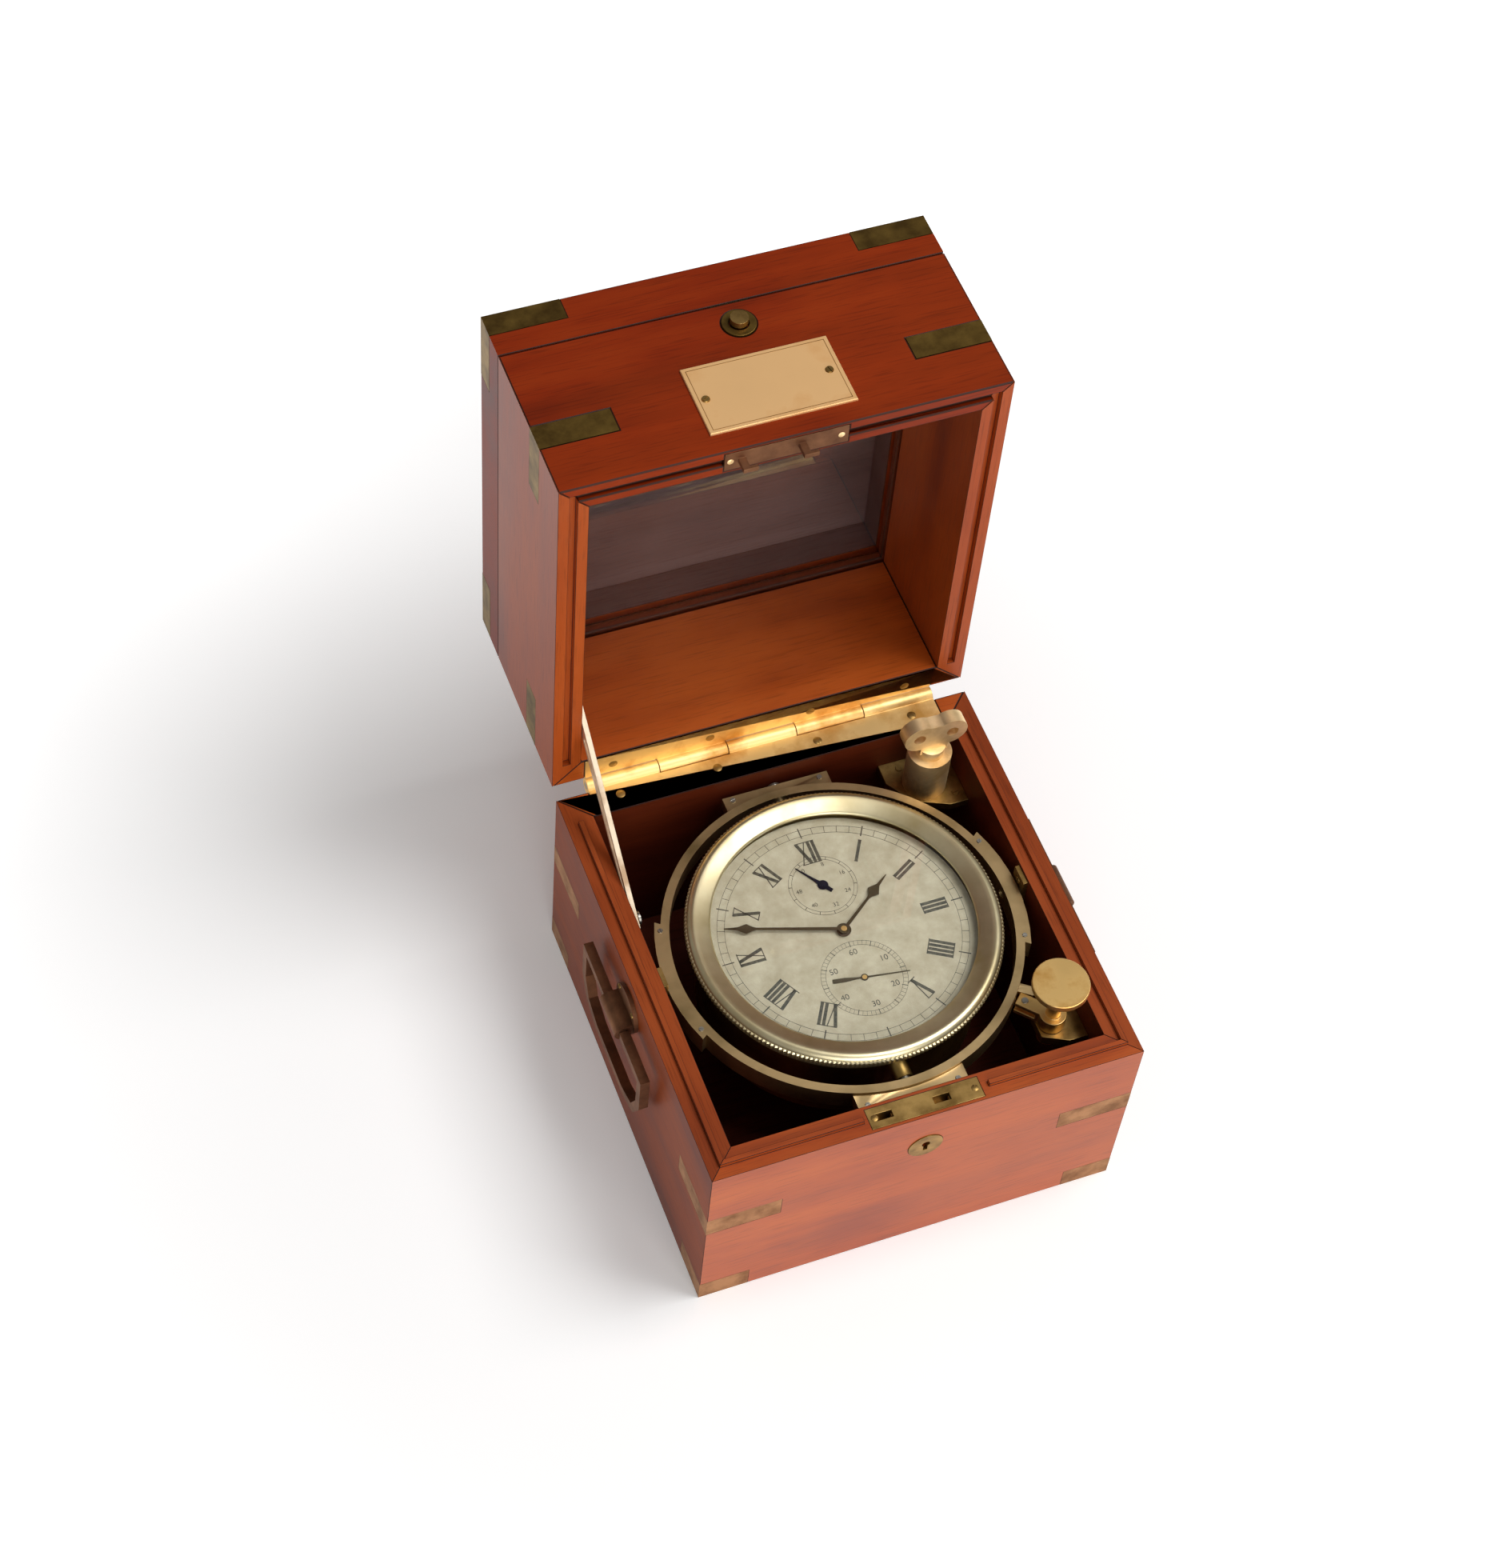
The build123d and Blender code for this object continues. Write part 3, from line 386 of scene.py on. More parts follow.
@dataclass(frozen=True)
class Wax:
    """Black engraver's wax in the dial's figures: matt, and worn to grey in places."""

    name: str
    colour: str = "#2B2822"
    worn: str = "#5A5444"
    wear_size: float = 1.43

    def build(self) -> bpy.types.Material:
        """Make the material.

        Returns:
            The new material.
        """
        s = Shader(self.name)
        wear = s.add("ShaderNodeTexNoise", {"Vector": s.place, "Scale": per_metre(self.wear_size),
                                            "Detail": 3.0}).outputs["Fac"]
        tone = s.add("ShaderNodeValToRGB", {"Fac": wear},
                     stops=((0.3, self.colour), (0.75, self.worn))).outputs[0]
        s.set(Base_Color=tone, Roughness=0.6)
        return s.material


@dataclass(frozen=True)
class PlateGlass:
    """Clear polished plate glass, faintly green and faintly smeared.

    Its shadow is almost clear, so that the light reaches the dial and the lid's lining behind it.
    """

    name: str
    colour: str = "#F4F8F6"
    smear_size: float = 16.67

    def build(self) -> bpy.types.Material:
        """Make the material.

        Returns:
            The new material.
        """
        s = Shader(self.name)
        smear = s.add("ShaderNodeTexNoise", {"Vector": s.place, "Scale": per_metre(self.smear_size),
                                             "Detail": 3.0}).outputs["Fac"]
        sheen = s.add("ShaderNodeMapRange", {"Value": smear, "To Min": 0.0, "To Max": 0.02}).outputs[0]
        shade = s.add("ShaderNodeLightPath").outputs["Is Shadow Ray"]
        clear = s.add("ShaderNodeMapRange", {"Value": shade, "To Min": 1.0, "To Max": 0.1}).outputs[0]
        s.set(Base_Color=linear(self.colour), Roughness=sheen, IOR=1.5, Transmission_Weight=1.0, Alpha=clear)
        return s.material


class Finish(Enum):
    """Every finish of the chronometer."""

    # Polished mahogany, the base's front and back: red-brown, with figure running across and a soft gloss.
    WOOD_X = Mahogany("mahogany_grain_across_front", Axis.X)
    # The same boards on the base's sides, less polished: a duller and deeper red, the shade on the sides
    # painted into the colour.
    WOOD_Y = Mahogany("mahogany_grain_along_side", Axis.Y, "#6E2A10", "#92401A", "#A85024", rough=0.42,
                      coat=0.0, seed=4.0, gloss=0.14)
    # The tier's sides, whose grain stands upright while the box is open: a warmer copy of the wood, painted
    # for how the light falls on them.
    WOOD_Z = Mahogany("mahogany_grain_along_open_side", Axis.Z, "#7A2C0C", "#A04212", "#B85620", rough=0.4,
                      coat=0.05, seed=9.0, gloss=0.2)
    # Bare wood inside the base, near black so that the bowl stands out: a dark stain with the shade inside
    # the box painted in.
    WOOD_DARK = Mahogany("mahogany_stain_and_painted_shade_inside", Axis.X, "#2E0F05", "#541C0A", "#6A2A10", rough=0.5,
                         coat=0.0, seed=2.0, gloss=0.15)
    # The faces that look up while the box is open: a darker, redder copy of the wood, painted for how the
    # key light falls on them.
    WOOD_LID = Mahogany("mahogany_opened_front_painted_shade", Axis.X, "#601A02", "#842602", "#9C3808", rough=0.42,
                        coat=0.0, seed=6.0, gloss=0.15)
    # Rounded corners of the boards: a thin dark line round each one.
    WOOD_EDGE = Mahogany("mahogany_of_dark_rounded_edges", Axis.X, "#1C0A05", "#2E1208", "#48200F", rough=0.5,
                         coat=0.0, seed=3.0, gloss=0.2)
    # Inside of the top lid behind the glass: a greyed purple brown, the shade of the lid's hollow and the
    # grey sheen of the glass painted in.
    LINING = Mahogany("lid_inside_painted_shade_and_sheen", Axis.X, "#2E2220", "#4E3A38", "#665250", rough=0.5,
                      coat=0.0, seed=7.0, gloss=0.2)
    # Sheet brass straps gone dull: olive brown patches.
    STRAP = Brass("dulled_strap_brass", "#8A6E36", "#5A4420", rough=0.45, patch_size=11.11, tarnish=0.8)
    # The base's straps, handled more: a coppery tone.
    BASE_STRAP = Brass("coppery_strap_brass", "#B8875C", "#8A5E3A", rough=0.5, patch_size=11.11, tarnish=0.7)
    # Cast brass handles in dark brown with little shine: painted shade, matched to the shaded wood of the
    # box's sides.
    HANDLE = Brass("handle_brass_painted_shade", "#8C6246", "#6A4834", rough=0.55, patch_size=11.11, tarnish=0.8)
    # The main hinge, drawn brass with its lacquer worn off: the brightest gold, broad highlights.
    HINGE = Brass("worn_hinge_brass", "#FFDC98", "#DCA85C", rough=0.48, patch_size=20.0)
    # Small fittings and wheels in polished brass: gold with tighter highlights.
    POLISHED = Brass("polished_hinge_brass", "#F2C880", "#CC9444", rough=0.34, patch_size=20.0)
    # Winding key rubbed pale by fingers.
    KEY = Brass("pale_key_brass", "#FFE2B0", "#D8B47C", rough=0.48, patch_size=20.0)
    # Stay rubbed nearly white where it slides.
    STAY = Brass("pale_stay_brass", "#F4E0C4", "#C0A080", rough=0.38, patch_size=16.67)
    # Cast fittings with old lacquer: brown gold, darker in patches.
    AGED = Brass("aged_fitting_brass", "#BE9A5C", "#7A5E32", rough=0.38, patch_size=12.5, tarnish=0.7)
    # Plaque of matt lacquered sheet: peach, with half the reflection of bare metal.
    PLAQUE = Brass("lacquered_plaque_brass", "#F4C488", "#E8B070", rough=0.5, patch_size=33.33, tarnish=0.4,
                   metal=0.5)
    # Bare metal at the bottom of an engraved line: a darker thread round the plaque.
    PLAQUE_LINE = Brass("engraved_plaque_line", "#C09058", "#8A6030", rough=0.5, patch_size=33.33)
    # Bezel turned and lacquered pale: creamy gold with rings of light.
    BEZEL = TurnedBrass("pale_turned_bezel_brass", "#EADDB4", "#C6B384", rough=0.34)
    # Gimbal ring turned from cast brass: a browner gold.
    RING = TurnedBrass("turned_ring_brass", "#CDB080", "#8E7850", rough=0.36)
    # Bowl turned from cast brass and lacquered dark.
    BOWL = TurnedBrass("lacquered_bowl_brass", "#A88A50", "#6E5628", rough=0.36)
    DIAL = Silvering("silvered_dial_plate")
    # Steel heated to blue: nearly black at this size, with a cold edge.
    BLUED = Steel("heat_blued_steel", "#2A2E3C", rough=0.34)
    # Hands of bronzed steel: dark brown that catches the light.
    HAND = Steel("bronzed_steel_hand", "#5E5240", rough=0.36)
    # Polished screws, pins and arbors: plain grey.
    STEEL = Steel("polished_screw_steel", "#A8A49A", rough=0.3)
    WAX = Wax("black_dial_wax")
    GLASS = PlateGlass("clear_plate_glass")

    @property
    def material(self) -> bpy.types.Material:
        """The finish's material, made on first use."""
        found = bpy.data.materials.get(self.value.name)
        return found or self.value.build()


# Piece making

def link_mesh(name: str, bm: bmesh.types.BMesh) -> bpy.types.Object:
    """Turn a bmesh into an object of the scene and free it.

    Args:
        name: the object's and the mesh's name.
        bm: its geometry, in metres.

    Returns:
        The new object.
    """
    mesh = bpy.data.meshes.new(name)
    bm.to_mesh(mesh)
    bm.free()
    obj = bpy.data.objects.new(name, mesh)
    bpy.context.scene.collection.objects.link(obj)
    return obj


def smooth(mesh: bpy.types.Mesh, angle_deg: float) -> None:
    """Shade faces that meet more flatly than an angle as one surface."""
    mesh.shade_smooth()
    mesh.set_sharp_from_angle(angle=math.radians(angle_deg))


def emit(name: str, bm: bmesh.types.BMesh, finish: Finish, body: str,
         smooth_deg: float = 35.0) -> bpy.types.Object:
    """Turn a bmesh in millimetres into a finished piece that rides on a body.

    Args:
        name: the piece's name.
        bm: its geometry, in millimetres.
        finish: its finish.
        body: the CAD body that it rides on.
        smooth_deg: faces closer in angle than this are shaded smooth.

    Returns:
        The new object.
    """
    bmesh.ops.scale(bm, vec=(MM, MM, MM), verts=bm.verts)
    bmesh.ops.recalc_face_normals(bm, faces=bm.faces)
    obj = link_mesh(name, bm)
    smooth(obj.data, smooth_deg)
    obj.data.materials.append(finish.material)
    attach(obj, body)
    log.info("%s: %d faces on %s", name, len(obj.data.polygons), body)
    return obj


def raise_face(bm: bmesh.types.BMesh, base: bmesh.types.BMFace, height: float,
               at: Matrix) -> list[bmesh.types.BMVert]:
    """Extrude a flat face upward, keep its underside and place the solid.

    Args:
        bm: the mesh that holds the face.
        base: the flat face.
        height: how far it rises.
        at: where the solid goes.

    Returns:
        The raised top face's vertices.
    """
    made = bmesh.ops.extrude_face_region(bm, geom=[base], use_keep_orig=True)["geom"]
    top = [v for v in made if isinstance(v, bmesh.types.BMVert)]
    bmesh.ops.translate(bm, vec=(0, 0, height), verts=top)
    bmesh.ops.transform(bm, matrix=at, verts=list(base.verts) + top)
    return top


def add_spin(bm: bmesh.types.BMesh, profile: Iterable[Point], steps: int, at: Matrix = Matrix()) -> None:
    """Spin a closed profile about the local Z axis.

    Args:
        bm: the mesh to add to.
        profile: radius and height of each corner.
        steps: how many sides the round has.
        at: where the ring goes.
    """
    before = set(bm.verts)
    verts = [bm.verts.new((r, 0, z)) for r, z in profile]
    edges = [bm.edges.new((a, b)) for a, b in zip(verts, verts[1:] + verts[:1])]
    bmesh.ops.spin(bm, geom=verts + edges, axis=(0, 0, 1), cent=(0, 0, 0), angle=2 * math.pi, steps=steps,
                   use_merge=True)
    bmesh.ops.transform(bm, matrix=at, verts=[v for v in bm.verts if v not in before])


def add_disc(bm: bmesh.types.BMesh, r: float, z0: float, z1: float, steps: int, at: Matrix) -> None:
    """Add a plain round disc with closed ends.

    Args:
        bm: the mesh to add to.
        r: its radius.
        z0: height of its underside.
        z1: height of its top.
        steps: how many sides the round has.
        at: where the disc goes.
    """
    middle = Matrix.Translation((0, 0, (z0 + z1) / 2))
    made = bmesh.ops.create_cone(bm, cap_ends=True, segments=steps, radius1=r, radius2=r, depth=z1 - z0,
                                 matrix=middle)
    bmesh.ops.transform(bm, matrix=at, verts=made["verts"])


def add_block(bm: bmesh.types.BMesh, size: Sequence[float], at: Sequence[float]) -> None:
    """Add a rectangular block.

    Args:
        bm: the mesh to add to.
        size: its three sides.
        at: its middle.
    """
    made = bmesh.ops.create_cube(bm, size=1.0)["verts"]
    bmesh.ops.scale(bm, vec=size, verts=made)
    bmesh.ops.translate(bm, vec=at, verts=made)


def facing(origin: Vector, normal: Vector, turn_deg: float) -> Matrix:
    """Place local Z along a normal at a point.

    Args:
        origin: the point.
        normal: the direction that local Z takes.
        turn_deg: turn about the normal.

    Returns:
        The placing matrix.
    """
    along = normal.to_track_quat("Z", "Y").to_matrix().to_4x4()
    return Matrix.Translation(origin) @ along @ Matrix.Rotation(math.radians(turn_deg), 4, "Z")


def closed(x: float, y: float, z: float) -> Vector:
    """A point of the closed lid, moved to the open rest position."""
    return OPEN @ Vector((x, y, z))


def closed_dir(x: float, y: float, z: float) -> Vector:
    """A direction of the closed lid in the open rest position."""
    return OPEN.to_3x3() @ Vector((x, y, z))


@dataclass(frozen=True)
class SlottedScrew:
    """Domed slotted screw head standing a little proud of its plate."""

    radius: float
    proud: float
    slot: float = 0.34
    sunk: float = 0.25
    floor: float = 0.08
    taper: float = 0.86

    def add(self, bm: bmesh.types.BMesh, at: Matrix) -> None:
        """Add the head's base and its two half discs either side of the slot.

        Args:
            bm: the mesh to add to.
            at: where the head sits, local Z out of the plate.
        """
        r = self.radius
        add_disc(bm, r, -self.sunk, self.floor, 24, at)
        half = math.asin(self.slot / 2 / r)
        for side in (0, math.pi):
            arc = [side + half + (math.pi - 2 * half) * k / 10 for k in range(11)]
            base = bm.faces.new([bm.verts.new((r * math.cos(a), r * math.sin(a), 0.05)) for a in arc])
            low = list(base.verts)
            top = raise_face(bm, base, self.proud, Matrix())
            bmesh.ops.scale(bm, vec=(self.taper, self.taper, 1), verts=top)
            bmesh.ops.transform(bm, matrix=at, verts=low + top)


# CAD nodes

@dataclass
class DressedNode:
    """A smoothed, edge-rounded copy that stands for one CAD node."""

    node: str
    body: str
    finish: Finish
    rounding: float = 0.0
    smooth_deg: float = 32.0
    inner: Optional[Finish] = None
    is_inner: Optional[Callable[[Vector, Vector], bool]] = None
    edge: Optional[Finish] = None

    def build(self, nodes: dict[str, bpy.types.Object]) -> bpy.types.Object:
        """Make the copy.

        Args:
            nodes: the frame's CAD nodes by name.

        Returns:
            The new piece.
        """
        bm = bmesh.new()
        bm.from_mesh(nodes[self.node].data)
        bmesh.ops.remove_doubles(bm, verts=bm.verts, dist=MERGE)
        bmesh.ops.dissolve_limit(bm, angle_limit=math.radians(FLAT_DEG), verts=bm.verts, edges=bm.edges)
        for face in bm.faces if self.is_inner else ():
            face.material_index = int(self.is_inner(face.calc_center_median() / MM, face.normal))
        obj = link_mesh("dressed_" + self.node, bm)
        if self.smooth_deg:
            smooth(obj.data, self.smooth_deg)
        for finish in filter(None, (self.finish, self.inner, self.edge)):
            obj.data.materials.append(finish.material)
        if self.rounding:
            self.round_edges(obj)
        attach(obj, self.body)
        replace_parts(obj, self.node)
        log.info("dressed %s", self.node)
        return obj

    def round_edges(self, obj: bpy.types.Object) -> None:
        """Round the sharp edges, in the edge's own finish where there is one.

        Args:
            obj: the copy.
        """
        bevel = obj.modifiers.new("edge_rounding", "BEVEL")
        bevel.width = self.rounding * MM
        bevel.segments = 2
        bevel.limit_method = "ANGLE"
        bevel.angle_limit = math.radians(ROUND_FROM_DEG)
        bevel.harden_normals = self.smooth_deg > 0
        bevel.use_clamp_overlap = True
        if self.edge:
            bevel.material = len(obj.data.materials) - 1


# Faces picked here take the near-black inner finish, which paints in the shade inside the box.
def inside_base(centre: Vector, normal: Vector) -> bool:
    """Whether a face of a base board looks into the box.

    Args:
        centre: the face's middle, in millimetres.
        normal: its direction.

    Returns:
        Whether the face is an inner one.
    """
    return abs(normal.z) <= 0.5 and abs(centre.x) < 78.5 and abs(centre.y) < 80.0


# Faces picked here take the lid's inner finish, which paints in the shade of the hollow and the glass's
# sheen.
def inside_lid(centre: Vector, normal: Vector) -> bool:
    """Whether a face of the opened top lid looks at the glass.

    Args:
        centre: the face's middle, in millimetres.
        normal: its direction, which makes no difference here.

    Returns:
        Whether the face is an inner one.
    """
    shut = OPEN.inverted() @ centre
    return abs(shut.x) < 79 and abs(shut.y) < 80.5 and shut.z < 183


@dataclass
class Carcase:
    """The wooden box: base, middle tier and top lid."""

    rounding: float = 0.7

    def dress(self, nodes: dict[str, bpy.types.Object]) -> None:
        """Give every board its grain direction and rounded edges.

        Args:
            nodes: the frame's CAD nodes by name.
        """
        rows = (
            ("base_front_board", "base", Finish.WOOD_X, Finish.WOOD_DARK, inside_base),
            ("base_back_board", "base", Finish.WOOD_X, Finish.WOOD_DARK, inside_base),
            ("base_side_boards", "base", Finish.WOOD_Y, Finish.WOOD_DARK, inside_base),
            ("base_bottom_board", "base", Finish.WOOD_DARK, None, None),
            ("tier_front_board", "middle_tier", Finish.WOOD_LID, None, None),
            ("tier_back_board", "middle_tier", Finish.WOOD_X, None, None),
            ("tier_side_boards", "middle_tier", Finish.WOOD_Z, None, None),
            ("top_lid_boards", "top_lid", Finish.WOOD_LID, Finish.LINING, inside_lid),
            ("glass_beading", "middle_tier", Finish.WOOD_DARK, None, None),
        )
        for node, body, finish, inner, is_inner in rows:
            piece = DressedNode(node, body, finish, self.rounding, 0.0, inner, is_inner, Finish.WOOD_EDGE)
            piece.build(nodes)


# Where a screw goes: its size, its place, its outward direction and its slot's turn in degrees.
Head = tuple[SlottedScrew, Vector, Vector, float]


def screw_set(name: str, finish: Finish, body: str, heads: Iterable[Head]) -> None:
    """Make one piece of a set of screw heads.

    Args:
        name: the piece's name.
        finish: its finish.
        body: the CAD body that it rides on.
        heads: the screws.
    """
    bm = bmesh.new()
    for screw, spot, out, turn_deg in heads:
        screw.add(bm, facing(spot, out, turn_deg))
    emit(name, bm, finish, body)


@dataclass
class Fittings:
    """Straps, hinges, lock, handles and the other brass of the box."""

    ROWS = (
        ("base_straps", "base", Finish.BASE_STRAP, 0.0),
        ("tier_straps", "middle_tier", Finish.STRAP, 0.0),
        ("top_lid_straps", "top_lid", Finish.STRAP, 0.0),
        ("main_hinge_base_leaf", "base", Finish.HINGE, 0.15),
        ("main_hinge_tier_leaf", "middle_tier", Finish.HINGE, 0.15),
        ("main_hinge_pin", "base", Finish.STEEL, 0.0),
        ("top_hinge_tier_leaves", "middle_tier", Finish.POLISHED, 0.0),
        ("top_hinge_lid_leaves", "top_lid", Finish.POLISHED, 0.0),
        ("box_lock", "base", Finish.AGED, 0.15),
        ("lock_bolt", "bolt", Finish.POLISHED, 0.15),
        ("keyhole_escutcheon", "base", Finish.AGED, 0.2),
        ("strike_plate", "middle_tier", Finish.HANDLE, 0.15),
        ("button_escutcheon", "middle_tier", Finish.STRAP, 0.3),
        ("lid_catch", "top_lid", Finish.POLISHED, 0.0),
        ("push_button", "button", Finish.AGED, 0.4),
        ("stay_stud", "base", Finish.STEEL, 0.15),
        ("lid_stay", "stay", Finish.STAY, 0.25),
        ("handle_lugs", "base", Finish.HANDLE, 0.5),
        ("left_handle", "handle_left", Finish.HANDLE, 0.9),
        ("right_handle", "handle_right", Finish.HANDLE, 0.9),
        ("gimbal_bearings", "base", Finish.AGED, 0.3),
        ("gimbal_lock_bracket", "base", Finish.AGED, 0.3),
        ("key_holder", "base", Finish.AGED, 0.3),
        ("winding_key", "key", Finish.KEY, 0.9),
        ("gimbal_lock_lever", "gimbal_lock", Finish.POLISHED, 0.35),
        ("gimbal_ring", "ring", Finish.RING, 0.25),
        ("gimbal_pivot_screws", "ring", Finish.STEEL, 0.2),
    )

    leaf_x: Sequence[float] = (-64, -22, 22, 64)
    leaf_y: float = 86.6
    lock_x: Point = (-21.5, 20.5)
    strike_x: Point = (-23.4, 20.6)
    lock_y: float = -85.5
    holder_top: float = 78.0
    ring_radius: float = 73.087
    ring_top: float = 91.0

    def dress(self, nodes: dict[str, bpy.types.Object]) -> None:
        """Smooth and finish every brass fitting of the box."""
        for node, body, finish, rounding in self.ROWS:
            DressedNode(node, body, finish, rounding).build(nodes)

    def rim_screws(self) -> None:
        """Flush screws of the main hinge's leaves, the lock and the strike plate."""
        up, down = Vector((0, 0, 1)), closed_dir(0, 0, -1)
        leaf, lock, strike = SlottedScrew(1.9, FLUSH), SlottedScrew(1.5, FLUSH), SlottedScrew(1.3, FLUSH)
        screw_set("base_leaf_screws", Finish.AGED, "base",
                  [(leaf, Vector((x, self.leaf_y, BASE_TOP)), up, 25 + 37 * k)
                   for k, x in enumerate(self.leaf_x)])
        screw_set("tier_leaf_screws", Finish.AGED, "middle_tier",
                  [(leaf, closed(x, self.leaf_y, RIM_Z), down, 70 + 41 * k)
                   for k, x in enumerate(self.leaf_x)])
        screw_set("lock_plate_screws", Finish.AGED, "base",
                  [(lock, Vector((x, self.lock_y, BASE_TOP)), up, 20 + 50 * k)
                   for k, x in enumerate(self.lock_x)])
        screw_set("strike_plate_screws", Finish.KEY, "middle_tier",
                  [(strike, closed(x, self.lock_y, RIM_Z), down, 60 + 50 * k)
                   for k, x in enumerate(self.strike_x)])

    def wall_screws(self) -> None:
        """Screws of the gimbal bearings, the lock bracket, the key holder and the handles' rosettes."""
        up = Vector((0, 0, 1))
        bearing, bracket = SlottedScrew(1.5, 0.4), SlottedScrew(1.3, 0.3)
        holder, rosette = SlottedScrew(1.6, 0.4), SlottedScrew(1.2, 0.4)
        heads = [(bearing, Vector((side * 76, 0, z)), Vector((-side, 0, 0)), 30 + 55 * k)
                 for side in (-1, 1) for k, z in enumerate((78.2, 93.6))]
        heads += [(bracket, Vector((75.5, y, 73.5)), Vector((-1, 0, 0)), 15 + 80 * k)
                  for k, y in enumerate((-67.5, -54.5))]
        screw_set("bearing_and_bracket_screws", Finish.AGED, "base", heads)
        screw_set("key_holder_screws", Finish.AGED, "base",
                  [(holder, Vector((x, y, self.holder_top)), up, turn)
                   for x, y, turn in ((74, 57, 10), (56, 75.5, 70))])
        screw_set("rosette_screws", Finish.AGED, "base",
                  [(rosette, Vector((side * 91.8, y, 86.5)), Vector((side, 0, 0)), y)
                   for side in (-1, 1) for y in (-7.2, 7.2)])

    def gimbal_screws(self) -> None:
        """Steel screws of the gimbal ring and of the gimbal lock's arm."""
        up = Vector((0, 0, 1))
        side_screw, end_screw, arm = SlottedScrew(1.1, 0.35), SlottedScrew(1.2, 0.4), SlottedScrew(1.5, 0.4)
        heads = []
        for deg, turn in ((-19, 0), (19, 66), (161, 99), (199, 165)):
            a = math.radians(deg)
            spot = Vector((self.ring_radius * math.cos(a), self.ring_radius * math.sin(a), self.ring_top))
            heads.append((side_screw, spot, up, turn))
        heads += [(end_screw, Vector((x, side * 75, 89)), up, 48 * k + 12)
                  for side in (-1, 1) for k, x in enumerate((-19, 19))]
        screw_set("ring_screws", Finish.STEEL, "ring", heads)
        screw_set("lever_arm_screw", Finish.STEEL, "gimbal_lock",
                  [(arm, Vector((57.6, -51.2, 89.5)), up, 48)])


@dataclass
class Plaque:
    """Blank plaque with an engraved border, screwed to the tier's front."""

    middle: Point = (1.0, 25.7)
    size: Point = (58.5, 33.4)
    thick: float = 1.0
    sunk: float = 0.3
    edge: float = 0.35
    margin: float = 1.7
    line: float = 0.28
    screw_x: Point = (-24.0, 25.2)

    def build(self) -> None:
        """Plate with a bevelled edge, a fine engraved border and two screws."""
        width, height = self.size
        x, z = self.middle[0], RIM_Z + self.middle[1]
        out = closed_dir(0, -1, 0)
        frame = Matrix((Vector((1, 0, 0)), closed_dir(0, 0, 1), out)).transposed().to_4x4()
        at = Matrix.Translation(closed(x, FRONT_Y, z)) @ frame
        bm = bmesh.new()
        add_block(bm, (width, height, self.thick + self.sunk), (0, 0, (self.thick - self.sunk) / 2))
        rim = [e for e in bm.edges if all(v.co.z > 0.1 for v in e.verts)]
        bmesh.ops.bevel(bm, geom=rim, offset=self.edge, affect="EDGES", segments=2, profile=0.5, material=-1)
        bmesh.ops.transform(bm, matrix=at, verts=bm.verts)
        emit("blank_plaque", bm, Finish.PLAQUE, "middle_tier", 20)
        bm = bmesh.new()
        reach_x, reach_y = width / 2 - self.margin, height / 2 - self.margin
        for side in (1, -1):
            add_block(bm, (2 * reach_x + 0.2, self.line, 0.06), (0, side * reach_y, self.thick))
        for side in (1, -1):
            add_block(bm, (self.line, 2 * reach_y + 0.2, 0.06), (side * reach_x, 0, self.thick))
        bmesh.ops.transform(bm, matrix=at, verts=bm.verts)
        emit("plaque_border_line", bm, Finish.PLAQUE_LINE, "middle_tier", 20)
        screw_set("plaque_screws", Finish.AGED, "middle_tier",
                  [(SlottedScrew(1.7, 0.5), closed(x, FRONT_Y - self.thick, z), out, 35 + 70 * k)
                   for k, x in enumerate(self.screw_x)])


# Instrument

@dataclass
class BezelLook:
    """Smooth turned bezel with a knurled rim."""

    band_radius: float = 64.0
    band_foot: float = 94.7
    rises: Sequence[float] = (0.6, 1.9, 0.6)
    groove: float = 0.45
    chamfer: float = 0.5
    ridges: int = 220

    def build(self) -> None:
        """Bezel body and its knurled band."""
        bm = bmesh.new()
        profile = [(57.6, 90.2), (61.5, 90.2), (61.5, 94.2), (62.9, 94.6), (63.3, 95.2), (63.3, 97.4),
                   (62.9, 98.4), (62.2, 99.2), (61.2, 99.7), (60.2, 99.7), (58.6, 99.2), (57.0, 98.6),
                   (54.3, 97.6), (53.6, 97.2), (53.5, 96.9), (53.5, 96.4), (56.05, 96.4), (56.05, 93.8),
                   (57.6, 93.8)]
        add_spin(bm, profile, 192)
        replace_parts(emit("bezel_turned", bm, Finish.BEZEL, "bezel_body", 42), "bezel")
        emit("bezel_knurled_band", self.knurl(), Finish.BEZEL, "bezel_body", 20)

    def knurl(self) -> bmesh.types.BMesh:
        """Raise a ring of ridges, chamfer both ends and close the band inside.

        Returns:
            The band's geometry.
        """
        bm = bmesh.new()
        foot = bmesh.ops.create_circle(bm, segments=self.ridges * 2, radius=self.band_radius)["verts"]
        low = (self.band_radius - self.groove) / self.band_radius
        bmesh.ops.scale(bm, vec=(low, low, 1), verts=foot[::2])
        bmesh.ops.translate(bm, vec=(0, 0, self.band_foot), verts=foot)
        loop, rims = list(bm.edges), [foot]
        for rise in self.rises:
            made = bmesh.ops.extrude_edge_only(bm, edges=loop)["geom"]
            loop = [e for e in made if isinstance(e, bmesh.types.BMEdge)]
            rims.append([v for v in made if isinstance(v, bmesh.types.BMVert)])
            bmesh.ops.translate(bm, vec=(0, 0, rise), verts=rims[-1])
        ends = (rims[0], rims[-1])
        shrunk = (self.band_radius - self.chamfer) / self.band_radius
        for rim in ends:
            bmesh.ops.scale(bm, vec=(shrunk, shrunk, 1), verts=rim)
        for rim in ends:
            level = rim[0].co.z
            edges = [e for e in bm.edges if e.is_boundary and abs(e.verts[0].co.z - level) < 0.01]
            flat = bmesh.ops.extrude_edge_only(bm, edges=edges)["geom"]
            inner = [v for v in flat if isinstance(v, bmesh.types.BMVert)]
            bmesh.ops.scale(bm, vec=(0.985, 0.985, 1), verts=inner)
        bmesh.ops.bridge_loops(bm, edges=[e for e in bm.edges if e.is_boundary])
        return bm


